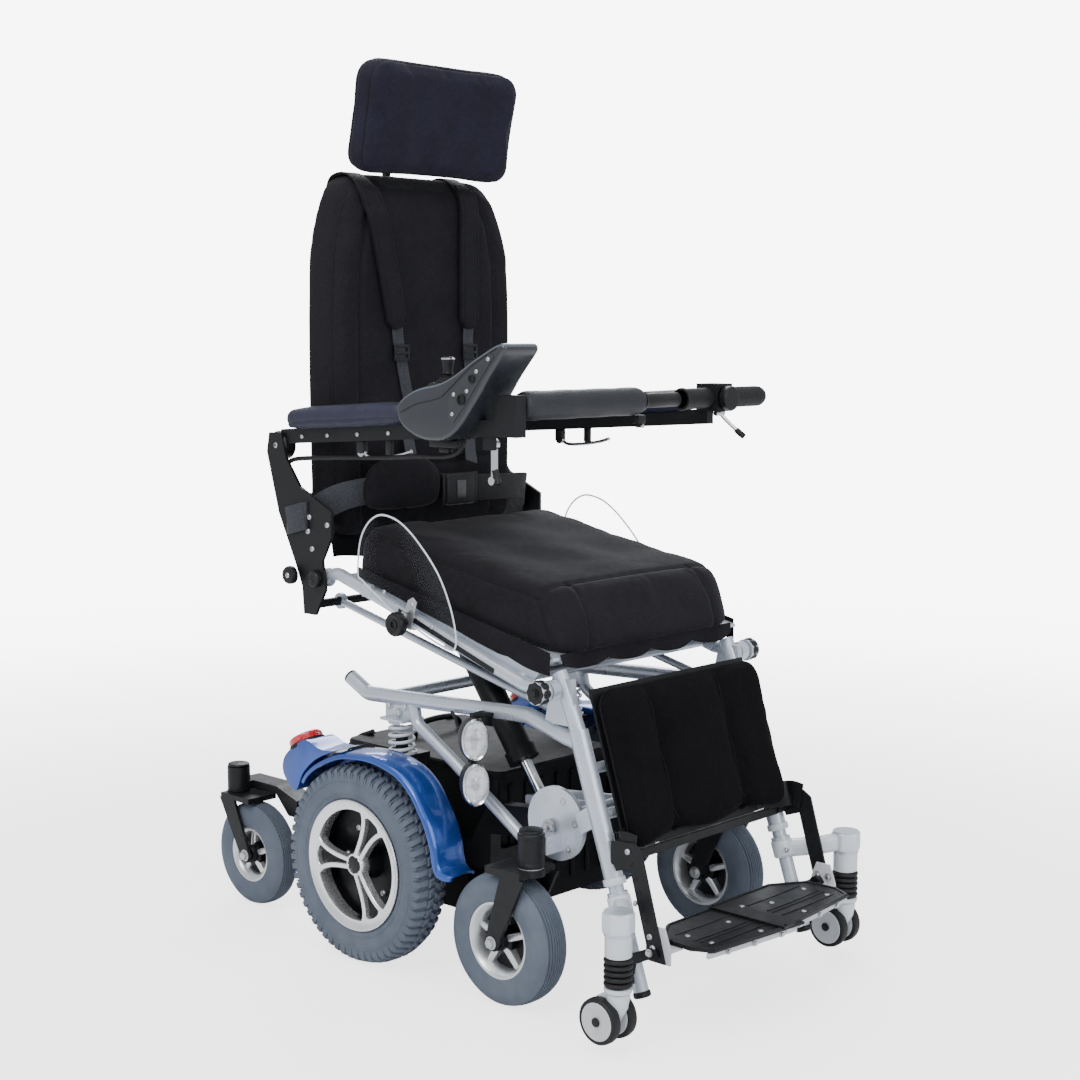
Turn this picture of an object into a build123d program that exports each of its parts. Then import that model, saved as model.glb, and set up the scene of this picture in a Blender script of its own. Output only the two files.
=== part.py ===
from build123d import *
import os
from math import cos, sin, radians, hypot

# Power wheelchair with a sit-to-stand seat. Millimetres, +Z up, -Y forward,
# +X is the occupant's left. Origin: floor level, under the drive axle, on the
# centreline. Pairs are (y, z) unless marked otherwise; most side pieces are
# modelled on the left and mirrored.

# ---- driving dimensions -------------------------------------------------
DRIVE_R, DRIVE_W, DRIVE_X = 177.5, 69, 290         # drive tyre
DRIVE_RIM_R = 116
SHAFT_R = 10                                       # gearbox shaft
FRONT_STEM, REAR_STEM = (270, -381), (217, 456)    # castor stems, (x, y)
STEM_R = 9
STAB_X, STAB_Y = 311, -604                         # stabiliser stem
STAB_STEM_R, STAB_NECK_R, STAB_AXLE_R = 8, 5, 4
STAB_AXLE = (-584, 53)
STAB_WHEEL_R = 37.5
FRAME_X, SEAT_X = 222, 252                         # planes of the tube frames
KNEE = (-406, 535)                                 # seat lift pivot
BACK = (145, 667)                                  # back pivot
ROD_OFFSET = (20, -50)                             # levelling rod ends from both
KNEE_ROD = (KNEE[0] + ROD_OFFSET[0], KNEE[1] + ROD_OFFSET[1])
BACK_ROD = (BACK[0] + ROD_OFFSET[0], BACK[1] + ROD_OFFSET[1])
ROD_PIN_R = 6
PIVOT = (-377, 298)                                # suspension pivot
PIVOT_R = 8                                        # suspension and knee pins
BACK_PIN_R = 7
ACT_LOW, ACT_HIGH = (-270, 305), (-80, 565)        # lift actuator pivots
ACT_X = -120
ACT_PIN_R, ACT_ROD_R = 7, 11
LEG_SLEEVE = [(-440, 470), (-521, 232)]            # outer leg sleeve axis
INNER_LEG = [(-500, 293), (-577, 68)]              # telescoping leg axis
CROSS_LOW, CROSS_HIGH, CROSS_R = (-488, 338), (-461, 408), 9  # tubes behind the calf plate
FOOT_HINGE, FOOT_PIN_R = (-606, 156), 5
ARM_PIVOT, ARM_PIN_R = (257, 902), 6
ARM_SLOPE = -21 / 315                              # dz/dy of the armrests
CHEST = (-330, 990)                                # chest bar axis
CHEST_BAR_R, CHEST_TUBE_R = 11, 19
LEVER, LEVER_PIN_R = (-275, 926), 4                # release lever pivot
POST_Y, POST_R = 253, 8                            # headrest post
HEAD_BAR, HEAD_BAR_R = (178, 1490), 7
RUN = 0.05                                         # radial running clearance

os.makedirs("parts", exist_ok=True)


# ---- helpers ------------------------------------------------------------
def rod(start, end, radius):
    start, end = Vector(*start), Vector(*end)
    span = end - start
    return Plane(origin=start, z_dir=span) * Cylinder(
        radius, span.length, align=(Align.CENTER, Align.CENTER, Align.MIN))


def x_rod(x0, x1, y, z, radius):
    return rod((x0, y, z), (x1, y, z), radius)


def z_rod(x, y, z0, z1, radius):
    return rod((x, y, z0), (x, y, z1), radius)


def step(start, direction, distance):
    """The (y, z) point at a distance from start along a unit direction."""
    return (start[0] + direction[0] * distance, start[1] + direction[1] * distance)


def axis_rod(x, start, direction, near, far, radius):
    """A rod in an x plane, between two distances from start."""
    return rod((x, *step(start, direction, near)), (x, *step(start, direction, far)), radius)


def block(x0, x1, y0, y1, z0, z1):
    return Pos((x0 + x1) / 2, (y0 + y1) / 2, (z0 + z1) / 2) * Box(
        abs(x1 - x0), abs(y1 - y0), abs(z1 - z0))


def slab(points, thickness, direction):
    return extrude(make_face(Polyline(*points, close=True)), amount=thickness, dir=direction)


def plate(x0, x1, outline):
    """A flat plate between two x planes with a (y, z) outline."""
    return slab([(x0, y, z) for y, z in outline], x1 - x0, (1, 0, 0))


def tube(x, points, radius, bend=0):
    """A solid round bar through (y, z) points in one x plane."""
    points = [(x, y, z) for y, z in points]
    path = FilletPolyline(*points, radius=bend) if bend else Polyline(*points)
    return sweep(Plane(origin=path @ 0, z_dir=path % 0) * Circle(radius), path=path)


def fuse(first, *others):
    for other in others:
        first = first + other
    return first


def group(*shapes):
    return Compound([solid for shape in shapes for solid in shape.solids()])


def mirrored(shape):
    return mirror(shape, about=Plane.YZ)


def both(*shapes):
    return group(*shapes, *[mirrored(shape) for shape in shapes])


def save(name, shape):
    solids = list(shape.solids())
    export_step(solids[0] if len(solids) == 1 else Compound(solids), f"parts/{name}.step")


def save_sides(name, shape):
    save(f"{name}_left", shape)
    save(f"{name}_right", mirrored(shape))


def soften(shape, radius):
    """Rounds every edge of a block."""
    for size in (radius, radius * 0.6, radius * 0.35):
        # The kernel may refuse a large radius; then the next smaller is used.
        try:
            return fillet(shape.edges(), size)
        except Exception:
            pass
    return shape


def x_ring(x0, x1, y, z, outer, inner):
    return x_rod(x0, x1, y, z, outer) - x_rod(x0 - 1, x1 + 1, y, z, inner)


def circles(shape, radius):
    return [e for e in shape.edges().filter_by(GeomType.CIRCLE) if abs(e.radius - radius) < 1e-3]


def tyre(x, y, radius, inner, width, rounding):
    """A tyre standing on the floor: a ring with rounded shoulders."""
    ring = x_ring(x - width / 2, x + width / 2, y, radius, radius, inner)
    return fillet(circles(ring, radius), rounding)


# ---- drive wheels: tyre, and a cast rim with its hub and gearbox shaft ---
save_sides("drive_tyre", tyre(DRIVE_X, 0, DRIVE_R, DRIVE_RIM_R, DRIVE_W, 16))

HOLE_CIRCLE_R, HOLE_R = 66, 27
rim = fuse(x_ring(DRIVE_X - 29, DRIVE_X + 29, 0, DRIVE_R, DRIVE_RIM_R - 0.02, 104),
           x_rod(DRIVE_X - 4, DRIVE_X + 8, 0, DRIVE_R, 105),
           x_rod(DRIVE_X - 24, DRIVE_X + 22, 0, DRIVE_R, 30))
for k in range(3):
    angle = radians(90 + 120 * k)
    rim = rim - x_rod(280, 305, HOLE_CIRCLE_R * cos(angle),
                      DRIVE_R + HOLE_CIRCLE_R * sin(angle), HOLE_R)
save_sides("drive_rim", rim + x_rod(226, 270, 0, DRIVE_R, SHAFT_R))


# ---- castors ---------------------------------------------------------------
def castor(name, stem, wheel_y, radius, width, rim_r, crown_z, stem_top, cheek, leg_y):
    """Fork with stem, tyre, and rim on a through axle held by the fork."""
    x, stem_y = stem
    z0, z1 = crown_z
    half = width / 2 + 3
    axle_r = 6
    crown = block(x - half - cheek, x + half + cheek,
                  min(stem_y, wheel_y) - 14, max(stem_y, wheel_y) + 14, z0, z1)
    crown = crown + z_rod(x, stem_y, z0, z1, 24)
    outline = [(leg_y[0], z0 + 1), (leg_y[1], z0 + 1), (wheel_y + 15, radius),
               (wheel_y + 8, radius - 13), (wheel_y - 8, radius - 13), (wheel_y - 15, radius)]
    legs = [plate(x + s * half, x + s * (half + cheek), outline) for s in (-1, 1)]
    reach = half + cheek + 5
    save_sides(f"{name}_fork", fuse(
        crown, *legs, x_rod(x - reach, x + reach, wheel_y, radius, axle_r),
        z_rod(x, stem_y, z1 - 1, stem_top, STEM_R)))
    save_sides(f"{name}_tyre", tyre(x, wheel_y, radius, rim_r, width, 13))

    band, hub = width / 2 - 4, width / 2 - 0.6
    wheel = fuse(x_ring(x - band, x + band, wheel_y, radius, rim_r - 0.02, rim_r - 9),
                 x_rod(x - 9, x + 9, wheel_y, radius, rim_r - 8),
                 x_rod(x - hub, x + hub, wheel_y, radius, 16.5))
    save_sides(f"{name}_rim",
               wheel - x_rod(x - width, x + width, wheel_y, radius, axle_r + RUN))


castor("front", FRONT_STEM, wheel_y=-331, radius=112.5, width=66, rim_r=63,
       crown_z=(229, 241), stem_top=296, cheek=7, leg_y=(-404, -352))
castor("rear", REAR_STEM, wheel_y=398, radius=100, width=50, rim_r=52,
       crown_z=(203, 213), stem_top=258, cheek=6, leg_y=(430, 474))

# ---- chassis: base frame with floor pan, castor arms, spring seats --------
FORWARD_ARM = [(-150, 180), (-205, 180), (-205, 246), (-330, 262), (-377, 280),
               (-377, 316), (-200, 300), (-150, 215)]
REAR_ARM = [(300, 182), (326, 182), (362, 218), (470, 218), (470, 234), (362, 234), (300, 215)]
left_side = fuse(
    block(155, 180, -205, 330, 180, 215),      # side rail
    plate(160, 185, FORWARD_ARM),
    x_rod(160, 185, *PIVOT, 18),               # pivot boss
    x_rod(184, 223, *PIVOT, PIVOT_R),          # pivot pin
    block(152, 157, -120, 120, 82, 190),       # pan hanger
    block(179, 188, -48, 8, 190, 366),         # spring column
    block(186, 249, -48, 8, 360, 366),         # spring seat
    block(179, 251, -70, -58, 190, 214),       # motor bracket
    plate(155, 200, REAR_ARM),
    block(178, 217, 432, 480, 218, 234),
)
housing = z_rod(*REAR_STEM, 214, 262, 22) - z_rod(*REAR_STEM, 213, 263, STEM_R + RUN)
left_side = (left_side - z_rod(*REAR_STEM, 213, 263, 21.5)) + housing
cross = fuse(block(-158, 158, 300, 325, 182, 212), block(-158, 158, -204, -192, 182, 212))
chassis = fuse(left_side, mirrored(left_side), cross, block(-155, 155, -150, 150, 82, 90))
for x in (-100, 100):
    for y in (-110, 110):
        chassis = chassis - z_rod(x, y, 80, 92, 5.5)
save("chassis_frame", chassis)

# ---- battery box and batteries ---------------------------------------------
battery_box = block(-150, 150, -190, 210, 90, 345)
battery_box = fillet(battery_box.edges().filter_by(Axis.Z), 18)
save("battery_box", battery_box - block(-145, 145, -185, 205, 95, 340))
save("batteries", both(block(-140, -3, -178, 160, 95, 300)))

# ---- gearmotors: gearbox on the wheel shaft, motor running back -------------
MOTOR_X, MOTOR_Z = 215, 178
motor = fuse(block(188.5, 248, -55, 60, 132, 226),
             rod((MOTOR_X, 55, MOTOR_Z), (MOTOR_X, 205, MOTOR_Z), 33),
             rod((MOTOR_X, 204, MOTOR_Z), (MOTOR_X, 240, MOTOR_Z), 24))
save("drive_motors", both(motor - x_rod(220, 250, 0, DRIVE_R, SHAFT_R + RUN)))

# ---- fenders: top sheet and inboard flange over the drive wheels ------------
FENDER = [(130, 320), (85, 350), (25, 373), (-20, 379), (-81, 374), (-136, 351), (-171, 315),
          (-197, 270), (-209, 222), (-222, 201), (-238, 198)]


def inset(points, depth):
    """Moves each point square to the line between its neighbours."""
    moved = []
    for i, (y, z) in enumerate(points):
        (y0, z0), (y1, z1) = points[max(i - 1, 0)], points[min(i + 1, len(points) - 1)]
        length = hypot(y1 - y0, z1 - z0)
        moved.append((y - (z1 - z0) / length * depth, z + (y1 - y0) / length * depth))
    return moved


save("fenders", both(fuse(
    plate(250.5, 322, FENDER + inset(FENDER, 4)[::-1]),
    plate(250.5, 254, FENDER[:-2] + inset(FENDER, 26)[:-2][::-1]))))

# ---- tail lamps: housings on the rear of the fenders, and round lenses ------
LENS_X, LENS, LENS_NORMAL = 288, (158, 363.5), (0.519, 0.855)
LENS_R = 30
LAMP_HOUSING = [(27, 377.5), (60, 368), (88, 366), (128, 380), (184, 346), (192, 314),
                (152, 282), (135, 322.5), (88, 353)]
lamp = plate(254.5, 321, LAMP_HOUSING)
lamp = fillet(lamp.edges().filter_by(Axis.X).sort_by(Axis.Z)[-1], 8)
save("lamp_housings", both(lamp - axis_rod(LENS_X, LENS, LENS_NORMAL, -8, 30, 26)))
lens = fuse(axis_rod(LENS_X, LENS, LENS_NORMAL, -7.5, 3, 25.8),
            axis_rod(LENS_X, LENS, LENS_NORMAL, 1.2, 13, LENS_R))
save("tail_lamps", both(fillet(circles(lens, LENS_R)[-1:], 3)))

# ---- upper frame weldment: both tube sides, castor housings, cross tubes ---
RAIL = [(112, 484), (66, 461), (-330, 479), (-413, 456), (-443, 450)]
UPPER_LEG = [(-398, 560), (-408, 541), (-443, 461), (-521, 232)]
DIAGONAL = [(-52, 462), (-60, 425), (-157, 369), (-289, 288), (-330, 262)]
KNEE_GUSSET = [(-372, 475), (-440, 475), (-428, 552), (-388, 552)]
SPRING_BRACKET = [(-45, 470), (15, 470), (15, 425), (-60, 425)]
DISC_TO_LEG = [(-436, 330), (-448, 300), (-500, 330), (-488, 366)]
ACTUATOR_LUG = [(-430, 308), (-430, 336), (-258, 318), (-258, 292)]
side = fuse(
    tube(FRAME_X, RAIL, 13.5, 30),
    tube(FRAME_X, UPPER_LEG, 13, 12),
    tube(FRAME_X, LEG_SLEEVE, 16),
    tube(FRAME_X, DIAGONAL, 11, 25),
    plate(FRAME_X - 6, FRAME_X + 6, KNEE_GUSSET),
    plate(FRAME_X - 6, FRAME_X + 6, SPRING_BRACKET),
    block(FRAME_X - 26, FRAME_X + 26, -50, 8, 426, 431),    # spring cap
    x_rod(209, 217, -386, 305, 62),                         # disc plate
    block(212, 255, -401, -361, 262, 292),                  # castor arm
    plate(213, 225, DISC_TO_LEG),
    x_rod(FRAME_X + 4, 267, *KNEE, PIVOT_R),                # knee pin
    x_rod(267, 288, *KNEE, 19),                             # knee knob
    x_rod(FRAME_X - 28, FRAME_X - 4, *KNEE_ROD, ROD_PIN_R),
)
side = side - x_rod(200, 262, *PIVOT, PIVOT_R + RUN)
side = side - z_rod(*FRONT_STEM, 200, 240, 40)
side = side + z_rod(*FRONT_STEM, 243, 299, 21)
side = side - z_rod(*FRONT_STEM, 200, 300, STEM_R + RUN) - tube(FRAME_X, INNER_LEG, 12.6)
cross = fuse(
    x_rod(-212, 212, -425, 322, 14),
    x_rod(-212, 212, *CROSS_LOW, CROSS_R),
    x_rod(-212, 212, *CROSS_HIGH, CROSS_R),
    x_rod(-218, 218, 12, 462, 11),
    *[plate(ACT_X + x, ACT_X + x + 7, ACTUATOR_LUG) for x in (-34, 27)],
    x_rod(ACT_X - 28, ACT_X + 28, *ACT_LOW, ACT_PIN_R))
save("upper_frame_weldment", fuse(side, mirrored(side), cross))

# ---- lower leg tubes: telescoping tube, clamp and stabiliser housing --------
leg = fuse(tube(FRAME_X, INNER_LEG, 12.5),
           rod((FRAME_X, -525, 220), (FRAME_X, -532, 199), 17),
           rod((FRAME_X, -534, 195), (STAB_X, STAB_Y, 209), 8),
           z_rod(STAB_X, STAB_Y, 190, 228, 23),
           z_rod(STAB_X, STAB_Y, 156, 191, 20))
save("leg_tubes", both(leg - z_rod(STAB_X, STAB_Y, 150, 222, STAB_STEM_R + RUN)))

# ---- stabilisers: stem, bellows, swivelling body, twin wheels ---------------
save_sides("stabilizer_stem", fuse(
    z_rod(STAB_X, STAB_Y, 100, 200, STAB_STEM_R),
    z_rod(STAB_X, STAB_Y, 100, 107.5, 21),
    z_rod(STAB_X, STAB_Y, 80, 101, STAB_NECK_R)))
save_sides("stabilizer_bellows",
           z_rod(STAB_X, STAB_Y, 108, 155.5, 22) - z_rod(STAB_X, STAB_Y, 107, 157, 12))
body = fuse(block(STAB_X - 9, STAB_X + 9, STAB_Y - 17, STAB_AXLE[0] + 14, 40, 96),
            z_rod(STAB_X, STAB_Y, 92, 99.5, 19),
            x_rod(STAB_X - 31, STAB_X + 31, *STAB_AXLE, STAB_AXLE_R))
save_sides("stabilizer_fork", body - z_rod(STAB_X, STAB_Y, 78, 101, STAB_NECK_R + RUN))
wheel = x_rod(STAB_X + 10.5, STAB_X + 28.5, *STAB_AXLE, STAB_WHEEL_R)
wheel = fillet(circles(wheel, STAB_WHEEL_R), 5) - x_rod(
    STAB_X, STAB_X + 40, *STAB_AXLE, STAB_AXLE_R + RUN)
twin = mirror(wheel, about=Plane(origin=(STAB_X, 0, 0), z_dir=(1, 0, 0)))
save_sides("stabilizer_wheels", group(wheel, twin))

# ---- suspension springs between the chassis seats and the upper frame -------
helix = Helix(pitch=13.4, height=46.9, radius=20.5, center=(FRAME_X, -21, 372.6))
coil = sweep(Plane(origin=helix @ 0, z_dir=helix % 0) * Circle(3.2), path=helix)
save("suspension_springs", both(coil))

# ---- headlamps: two lamp bodies with oval wells on a hanger, and lenses -----
LAMPS = ((-250, 437), (-257, 363))
headlamp = fuse(*[block(258, 292, y - 22, y + 34, z - 33, z + 33) for y, z in LAMPS],
                block(262, 278, -268, -222, 395, 405),
                block(238, 268, -262, -232, 452, 458),
                block(236.2, 243, -262, -232, 452, 474))
lenses = []
for y, z in LAMPS:
    oval = extrude(SlotOverall(58, 27, rotation=90), amount=9)
    oval = Pos(275, y - 22, z) * Rot(90, 0, 0) * oval
    headlamp = headlamp - Pos(0, 8.9, 0) * oval
    lenses.append(Pos(0, 5, 0) * oval)
save("headlamps", both(headlamp))
save("headlamp_lenses", both(*lenses))

# ---- calf support: plate with brackets and footplate hangers, and the pad ---
CALF_NORMAL = (-0.9523, 0.3049)                    # forward, out of the pad
CALF_TOP, CALF_BOTTOM = (-449, 536), (-530, 283)   # rear face of the pad
HANGER = [(-532, 258), (-520, 279), (-520, 305), (-566, 310), (-582, 300), (-632, 128),
          (-602, 128), (-560, 268)]


def from_calf(point, distance):
    return step(point, CALF_NORMAL, distance)


calf = plate(-204, 204, [from_calf(CALF_TOP, -0.5), from_calf(CALF_BOTTOM, -0.5),
                         from_calf(CALF_BOTTOM, -4.5), from_calf(CALF_TOP, -4.5)])
calf = fuse(calf, *[block(x, x + 30, y0, y1, z, z + 16)
                    for y0, y1, z in ((-508.5, -494, 330), (-486.2, -466, 400))
                    for x in (-150, 120)])
hanger = fuse(block(202, 233, -535, -520, 268, 279), plate(229, 233, HANGER),
              x_rod(212, 230, *FOOT_HINGE, FOOT_PIN_R))
calf = fuse(calf, block(-204, 204, -532, -524, 266, 280), hanger, mirrored(hanger))
for tube_centre in (CROSS_LOW, CROSS_HIGH):
    calf = calf - x_rod(-212, 212, *tube_centre, CROSS_R + 0.3)
for x in (-FRAME_X, FRAME_X):
    calf = calf - tube(x, LEG_SLEEVE, 16.4) - tube(x, INNER_LEG, 13)
save("calf_plate", calf)
save("calf_pad", soften(plate(-226, 226, [
    CALF_TOP, from_calf(CALF_TOP, 40), from_calf(CALF_BOTTOM, 40), CALF_BOTTOM]), 12))

# ---- footplates: two overlapping plates on hinged side lugs -----------------
FOOTPLATE = [(-28, -560), (140, -560), (200, -598), (204, -660), (186, -694), (-28, -714)]  # x, y


def footplate(sign, z):
    lug = fuse(block(sign * 196, sign * 224, -618, -594, 148, 158),
               x_rod(*sorted((sign * 212, sign * 224)), *FOOT_HINGE, 10))
    tread = slab([(sign * x, y, z) for x, y in FOOTPLATE], 4, (0, 0, 1))
    bore = x_rod(*sorted((sign * 206, sign * 240)), *FOOT_HINGE, FOOT_PIN_R + RUN)
    return fuse(tread, lug) - bore


save("footplates", group(footplate(-1, 150), footplate(1, 154.2)))


# ---- seat frame, cushion and side guards ------------------------------------
def under(y, drop=0):
    """The (y, z) point at a drop below the sloping underside of the cushion."""
    return (y, 583 + 0.2126 * (y + 423) - drop)


SEAT_TUBE = [(-400, 535), (-350, 537), (112, 678), (145, 668)]
side = fuse(tube(SEAT_X, SEAT_TUBE, 11.5, 40),
            x_rod(243, 261, *KNEE, 17),
            x_rod(243, 262, *BACK, 17),
            plate(236, 242, [(-352, 534), under(-396, 4), under(66, 4), (100, 676)]),
            block(258, 264.5, -100, -70, 600, 626),
            block(258, 264.5, 10, 34, 645, 668))
side = side - x_rod(230, 270, *KNEE, PIVOT_R + RUN) - x_rod(230, 270, *BACK, BACK_PIN_R + RUN)
pan = plate(-241, 241, [under(-405, 6), under(70, 6), under(70, 1), under(-405, 1)])
mount = plate(ACT_X - 34, ACT_X + 34, [(-110, 606), (-50, 606), under(-50, 5), under(-110, 5)])
lugs = [plate(ACT_X + x, ACT_X + x + 6, [(-100, 548), (-60, 548), (-50, 612), (-110, 612)])
        for x in (-34, 28)]
save("seat_frame", fuse(
    side, mirrored(side), pan, mount, *lugs,
    x_rod(ACT_X - 30, ACT_X + 30, *ACT_HIGH, ACT_PIN_R),
    x_rod(-250, 250, -330, 545, 9),
    x_rod(-250, 250, 60, 660, 9)))
save("seat_cushion", soften(
    plate(-243, 243, [(-423, 583), (-400, 681), (75, 767), under(75)]), 18))

GUARD = [(41, 682), (36, 735), (12, 778), (-23, 794), (-70, 784), (-120, 748), (-165, 700),
         (-195, 640), (-206, 590), (-192, 577), (-150, 588), (-60, 622)]
save("side_guards", both(plate(265, 269, GUARD)))

# ---- parallel rods that keep the back upright -------------------------------
link = fuse(rod((200, *KNEE_ROD), (200, *BACK_ROD), 7),
            x_rod(196, 204, *KNEE_ROD, 13),
            x_rod(196, 204, *BACK_ROD, 15))
link = link - x_rod(190, 210, *KNEE_ROD, ROD_PIN_R + RUN) - x_rod(190, 210, *BACK_ROD, 8.5)
save("levelling_rods", both(link))

# ---- lift actuator: rod pivoted on the upper frame, tube to the seat --------
act_y, act_z = ACT_HIGH[0] - ACT_LOW[0], ACT_HIGH[1] - ACT_LOW[1]
act_length = hypot(act_y, act_z)
act_axis = (ACT_X, ACT_LOW, (act_y / act_length, act_z / act_length))
save("actuator_rod", fuse(
    axis_rod(*act_axis, 0, 255, ACT_ROD_R),
    x_rod(ACT_X - 14, ACT_X + 14, *ACT_LOW, 17),
) - x_rod(ACT_X - 20, ACT_X + 20, *ACT_LOW, ACT_PIN_R + RUN))
sleeve = fuse(axis_rod(*act_axis, 82, act_length - 18, 24),
              axis_rod(*act_axis, 78, 100, 28),
              x_rod(ACT_X - 12, ACT_X + 12, *ACT_HIGH, 24))
sleeve = sleeve - axis_rod(*act_axis, 70, act_length - 20, ACT_ROD_R + RUN)
save("actuator_tube", sleeve - x_rod(ACT_X - 20, ACT_X + 20, *ACT_HIGH, 14.5))

# ---- back frame and backrest pad ---------------------------------------------
BACK_PLATE = [(122, 648), (150, 600), (182, 600), (186, 650), (204, 690), (250, 780),
              (282, 890), (275, 925), (240, 925), (228, 880), (190, 830), (104, 790),
              (104, 745), (130, 700)]
side = fuse(plate(268, 274, BACK_PLATE),
            x_rod(242, 269, *BACK, BACK_PIN_R),
            x_rod(247, 269, *ARM_PIVOT, ARM_PIN_R),
            x_rod(274, 282, *BACK, 13))
cane = tube(150, [(252, 770), (252, 1330)], 12.5)
back = fuse(side, mirrored(side),
            x_rod(-269, 269, *BACK_ROD, 8),
            x_rod(-269, 269, 246, 800, 11),
            cane, mirrored(cane),
            x_rod(-151, 151, 252, 1320, 12.5),
            x_rod(-151, 151, 252, 1050, 11),
            block(-22, 22, 238, 268, 1296, 1342),
            block(-170, 170, 233, 240, 800, 1345))
save("back_frame", back - z_rod(0, POST_Y, 1290, 1350, POST_R + RUN))

# Left edge of the pad, x and z, from the bottom up.
PAD_LEFT = [(226, 735), (229, 1000), (227, 1230), (205, 1330), (178, 1376), (140, 1381)]
pad_right = [(-x, z) for x, z in PAD_LEFT]
pad_outline = pad_right[:1] + PAD_LEFT + pad_right[:0:-1]
save("backrest_pad", soften(slab([(x, 140, z) for x, z in pad_outline], 90, (0, 1, 0)), 25))

# ---- headrest: post with cross bar, and a tilted pad clipped on it ----------
save("headrest_post", fuse(
    z_rod(0, POST_Y, 1190, 1490, POST_R),
    block(-10, 10, 186, 262, 1482, 1498),
    x_rod(-30, 30, *HEAD_BAR, HEAD_BAR_R),
    block(-10, 10, 176, 190, 1484, 1496)))
PAD_Y, PAD_Z = 122, HEAD_BAR[1]
head = Pos(0, PAD_Y, PAD_Z) * Box(356, 56, 196)
head = fillet(head.edges().filter_by(Axis.Y), 55)
head = soften(head, 14)
head = Rot(11, 0, 0) * Pos(0, -PAD_Y, -PAD_Z) * head
head = Pos(0, PAD_Y, PAD_Z) * head
ears = fuse(*[fuse(x_rod(s * 16, s * 30, *HEAD_BAR, 14),
                   block(s * 16, s * 30, 144, 180, 1480, 1500)) for s in (-1, 1)])
head = head + ears
head = head - x_rod(-40, 40, *HEAD_BAR, HEAD_BAR_R + RUN)
save("headrest_pad", head - block(-15, 15, 164, 215, 1465, 1515))


# ---- armrests ---------------------------------------------------------------
def on_arm(y, rise=0):
    """The (y, z) point at a rise above the sloping underside of the arm rail."""
    return (y, ARM_PIVOT[1] + 2 + ARM_SLOPE * (y - ARM_PIVOT[0]) + rise)


def arm(y_end):
    rail = plate(248, 266, [on_arm(250), on_arm(y_end), on_arm(y_end, 27), on_arm(250, 27)])
    return fuse(rail, x_rod(247, 266, *ARM_PIVOT, 26)) - x_rod(
        240, 270, *ARM_PIVOT, ARM_PIN_R + RUN)


def arm_pad(y_front):
    return soften(plate(231, 293, [on_arm(222, 27.3), on_arm(y_front, 27.3),
                                   on_arm(y_front, 64), on_arm(222, 64)]), 11)


save("armrest_frame_left", fuse(arm(-330), block(246, 290, -354, -306, 966, 1016))
     - x_rod(240, 300, *CHEST, CHEST_TUBE_R + RUN))
save("armrest_frame_right", fuse(
    mirrored(arm(-318)),
    block(-270, -246, -346, -300, 940, 1008),
    x_rod(-250, 40, *CHEST, CHEST_BAR_R),
    block(-262, -252, -286, -264, 917, 944),
    x_rod(-253, -239, *LEVER, LEVER_PIN_R)))
save("arm_pad_left", arm_pad(-296))
save("arm_pad_right", mirrored(arm_pad(-94)))

# ---- chest pad on its bar, chest tube, and release lever --------------------
CHEST_PAD_R = 25
chest_pad = x_rod(-243, 58, *CHEST, CHEST_PAD_R)
save("chest_pad", fillet(circles(chest_pad, CHEST_PAD_R), 11)
     - x_rod(-260, 40.2, *CHEST, CHEST_BAR_R + 0.1))
save("chest_tube", x_rod(170, 410, *CHEST, CHEST_TUBE_R) - x_rod(174, 420, *CHEST, 16))
save("release_lever", fuse(
    x_rod(-250, -242, *LEVER, 9),
    block(-249, -243, -280, -270, 868, 926),
    x_rod(-254, -238, -275, 866, 7),
) - x_rod(-260, -230, *LEVER, LEVER_PIN_R + RUN))

# ---- controller pod on the right armrest, with joystick and button ----------
POD = [(-100, 968), (-100, 986), (-128, 1008), (-165, 1022), (-215, 1032), (-300, 1074),
       (-345, 1092), (-352, 1080), (-310, 1030), (-275, 985), (-238, 945), (-199, 929),
       (-150, 934), (-112, 950)]
JOY_X, JOY_Y, JOY_Z = -262, -183, 1014
GIMBAL_PIN_R, STICK_PIN_R = 2.5, 2.4
BUTTON_AXIS = (JOY_X, (-257.5, 1053), (0.428, 0.904))
pod = plate(-303, -221, POD)
for x0, x1 in ((-267.5, -246.5), (-246.6, -220)):  # room for the arm rail
    pod = pod - plate(x0, x1, [(-90, 900), on_arm(-90, 28), on_arm(-360, 28), (-360, 900)])
pod = pod - z_rod(JOY_X, JOY_Y, 1000, 1060, 17.5) - x_rod(
    JOY_X - 20.5, JOY_X + 20.5, JOY_Y, JOY_Z, GIMBAL_PIN_R + RUN)
save("controller_housing", pod - axis_rod(*BUTTON_AXIS, -7, 12, 7.1))
save("mode_button", axis_rod(*BUTTON_AXIS, -4, 2.5, 7))

ring = z_rod(JOY_X, JOY_Y, JOY_Z - 3.5, JOY_Z + 3.5, 14) - z_rod(
    JOY_X, JOY_Y, JOY_Z - 5, JOY_Z + 5, 10)
save("joystick_gimbal", fuse(
    ring,
    x_rod(JOY_X - 20, JOY_X - 12, JOY_Y, JOY_Z, GIMBAL_PIN_R),
    x_rod(JOY_X + 12, JOY_X + 20, JOY_Y, JOY_Z, GIMBAL_PIN_R),
    rod((JOY_X, JOY_Y - 12, JOY_Z), (JOY_X, JOY_Y + 12, JOY_Z), STICK_PIN_R)))
stick = fuse(z_rod(JOY_X, JOY_Y, JOY_Z - 6, JOY_Z + 8, 5.5),
             z_rod(JOY_X, JOY_Y, JOY_Z + 7, JOY_Z + 40, 3.5),
             z_rod(JOY_X, JOY_Y, JOY_Z + 34, JOY_Z + 54, 11))
save("joystick", stick - rod((JOY_X, JOY_Y - 14, JOY_Z), (JOY_X, JOY_Y + 14, JOY_Z),
                             STICK_PIN_R + RUN))
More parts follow.
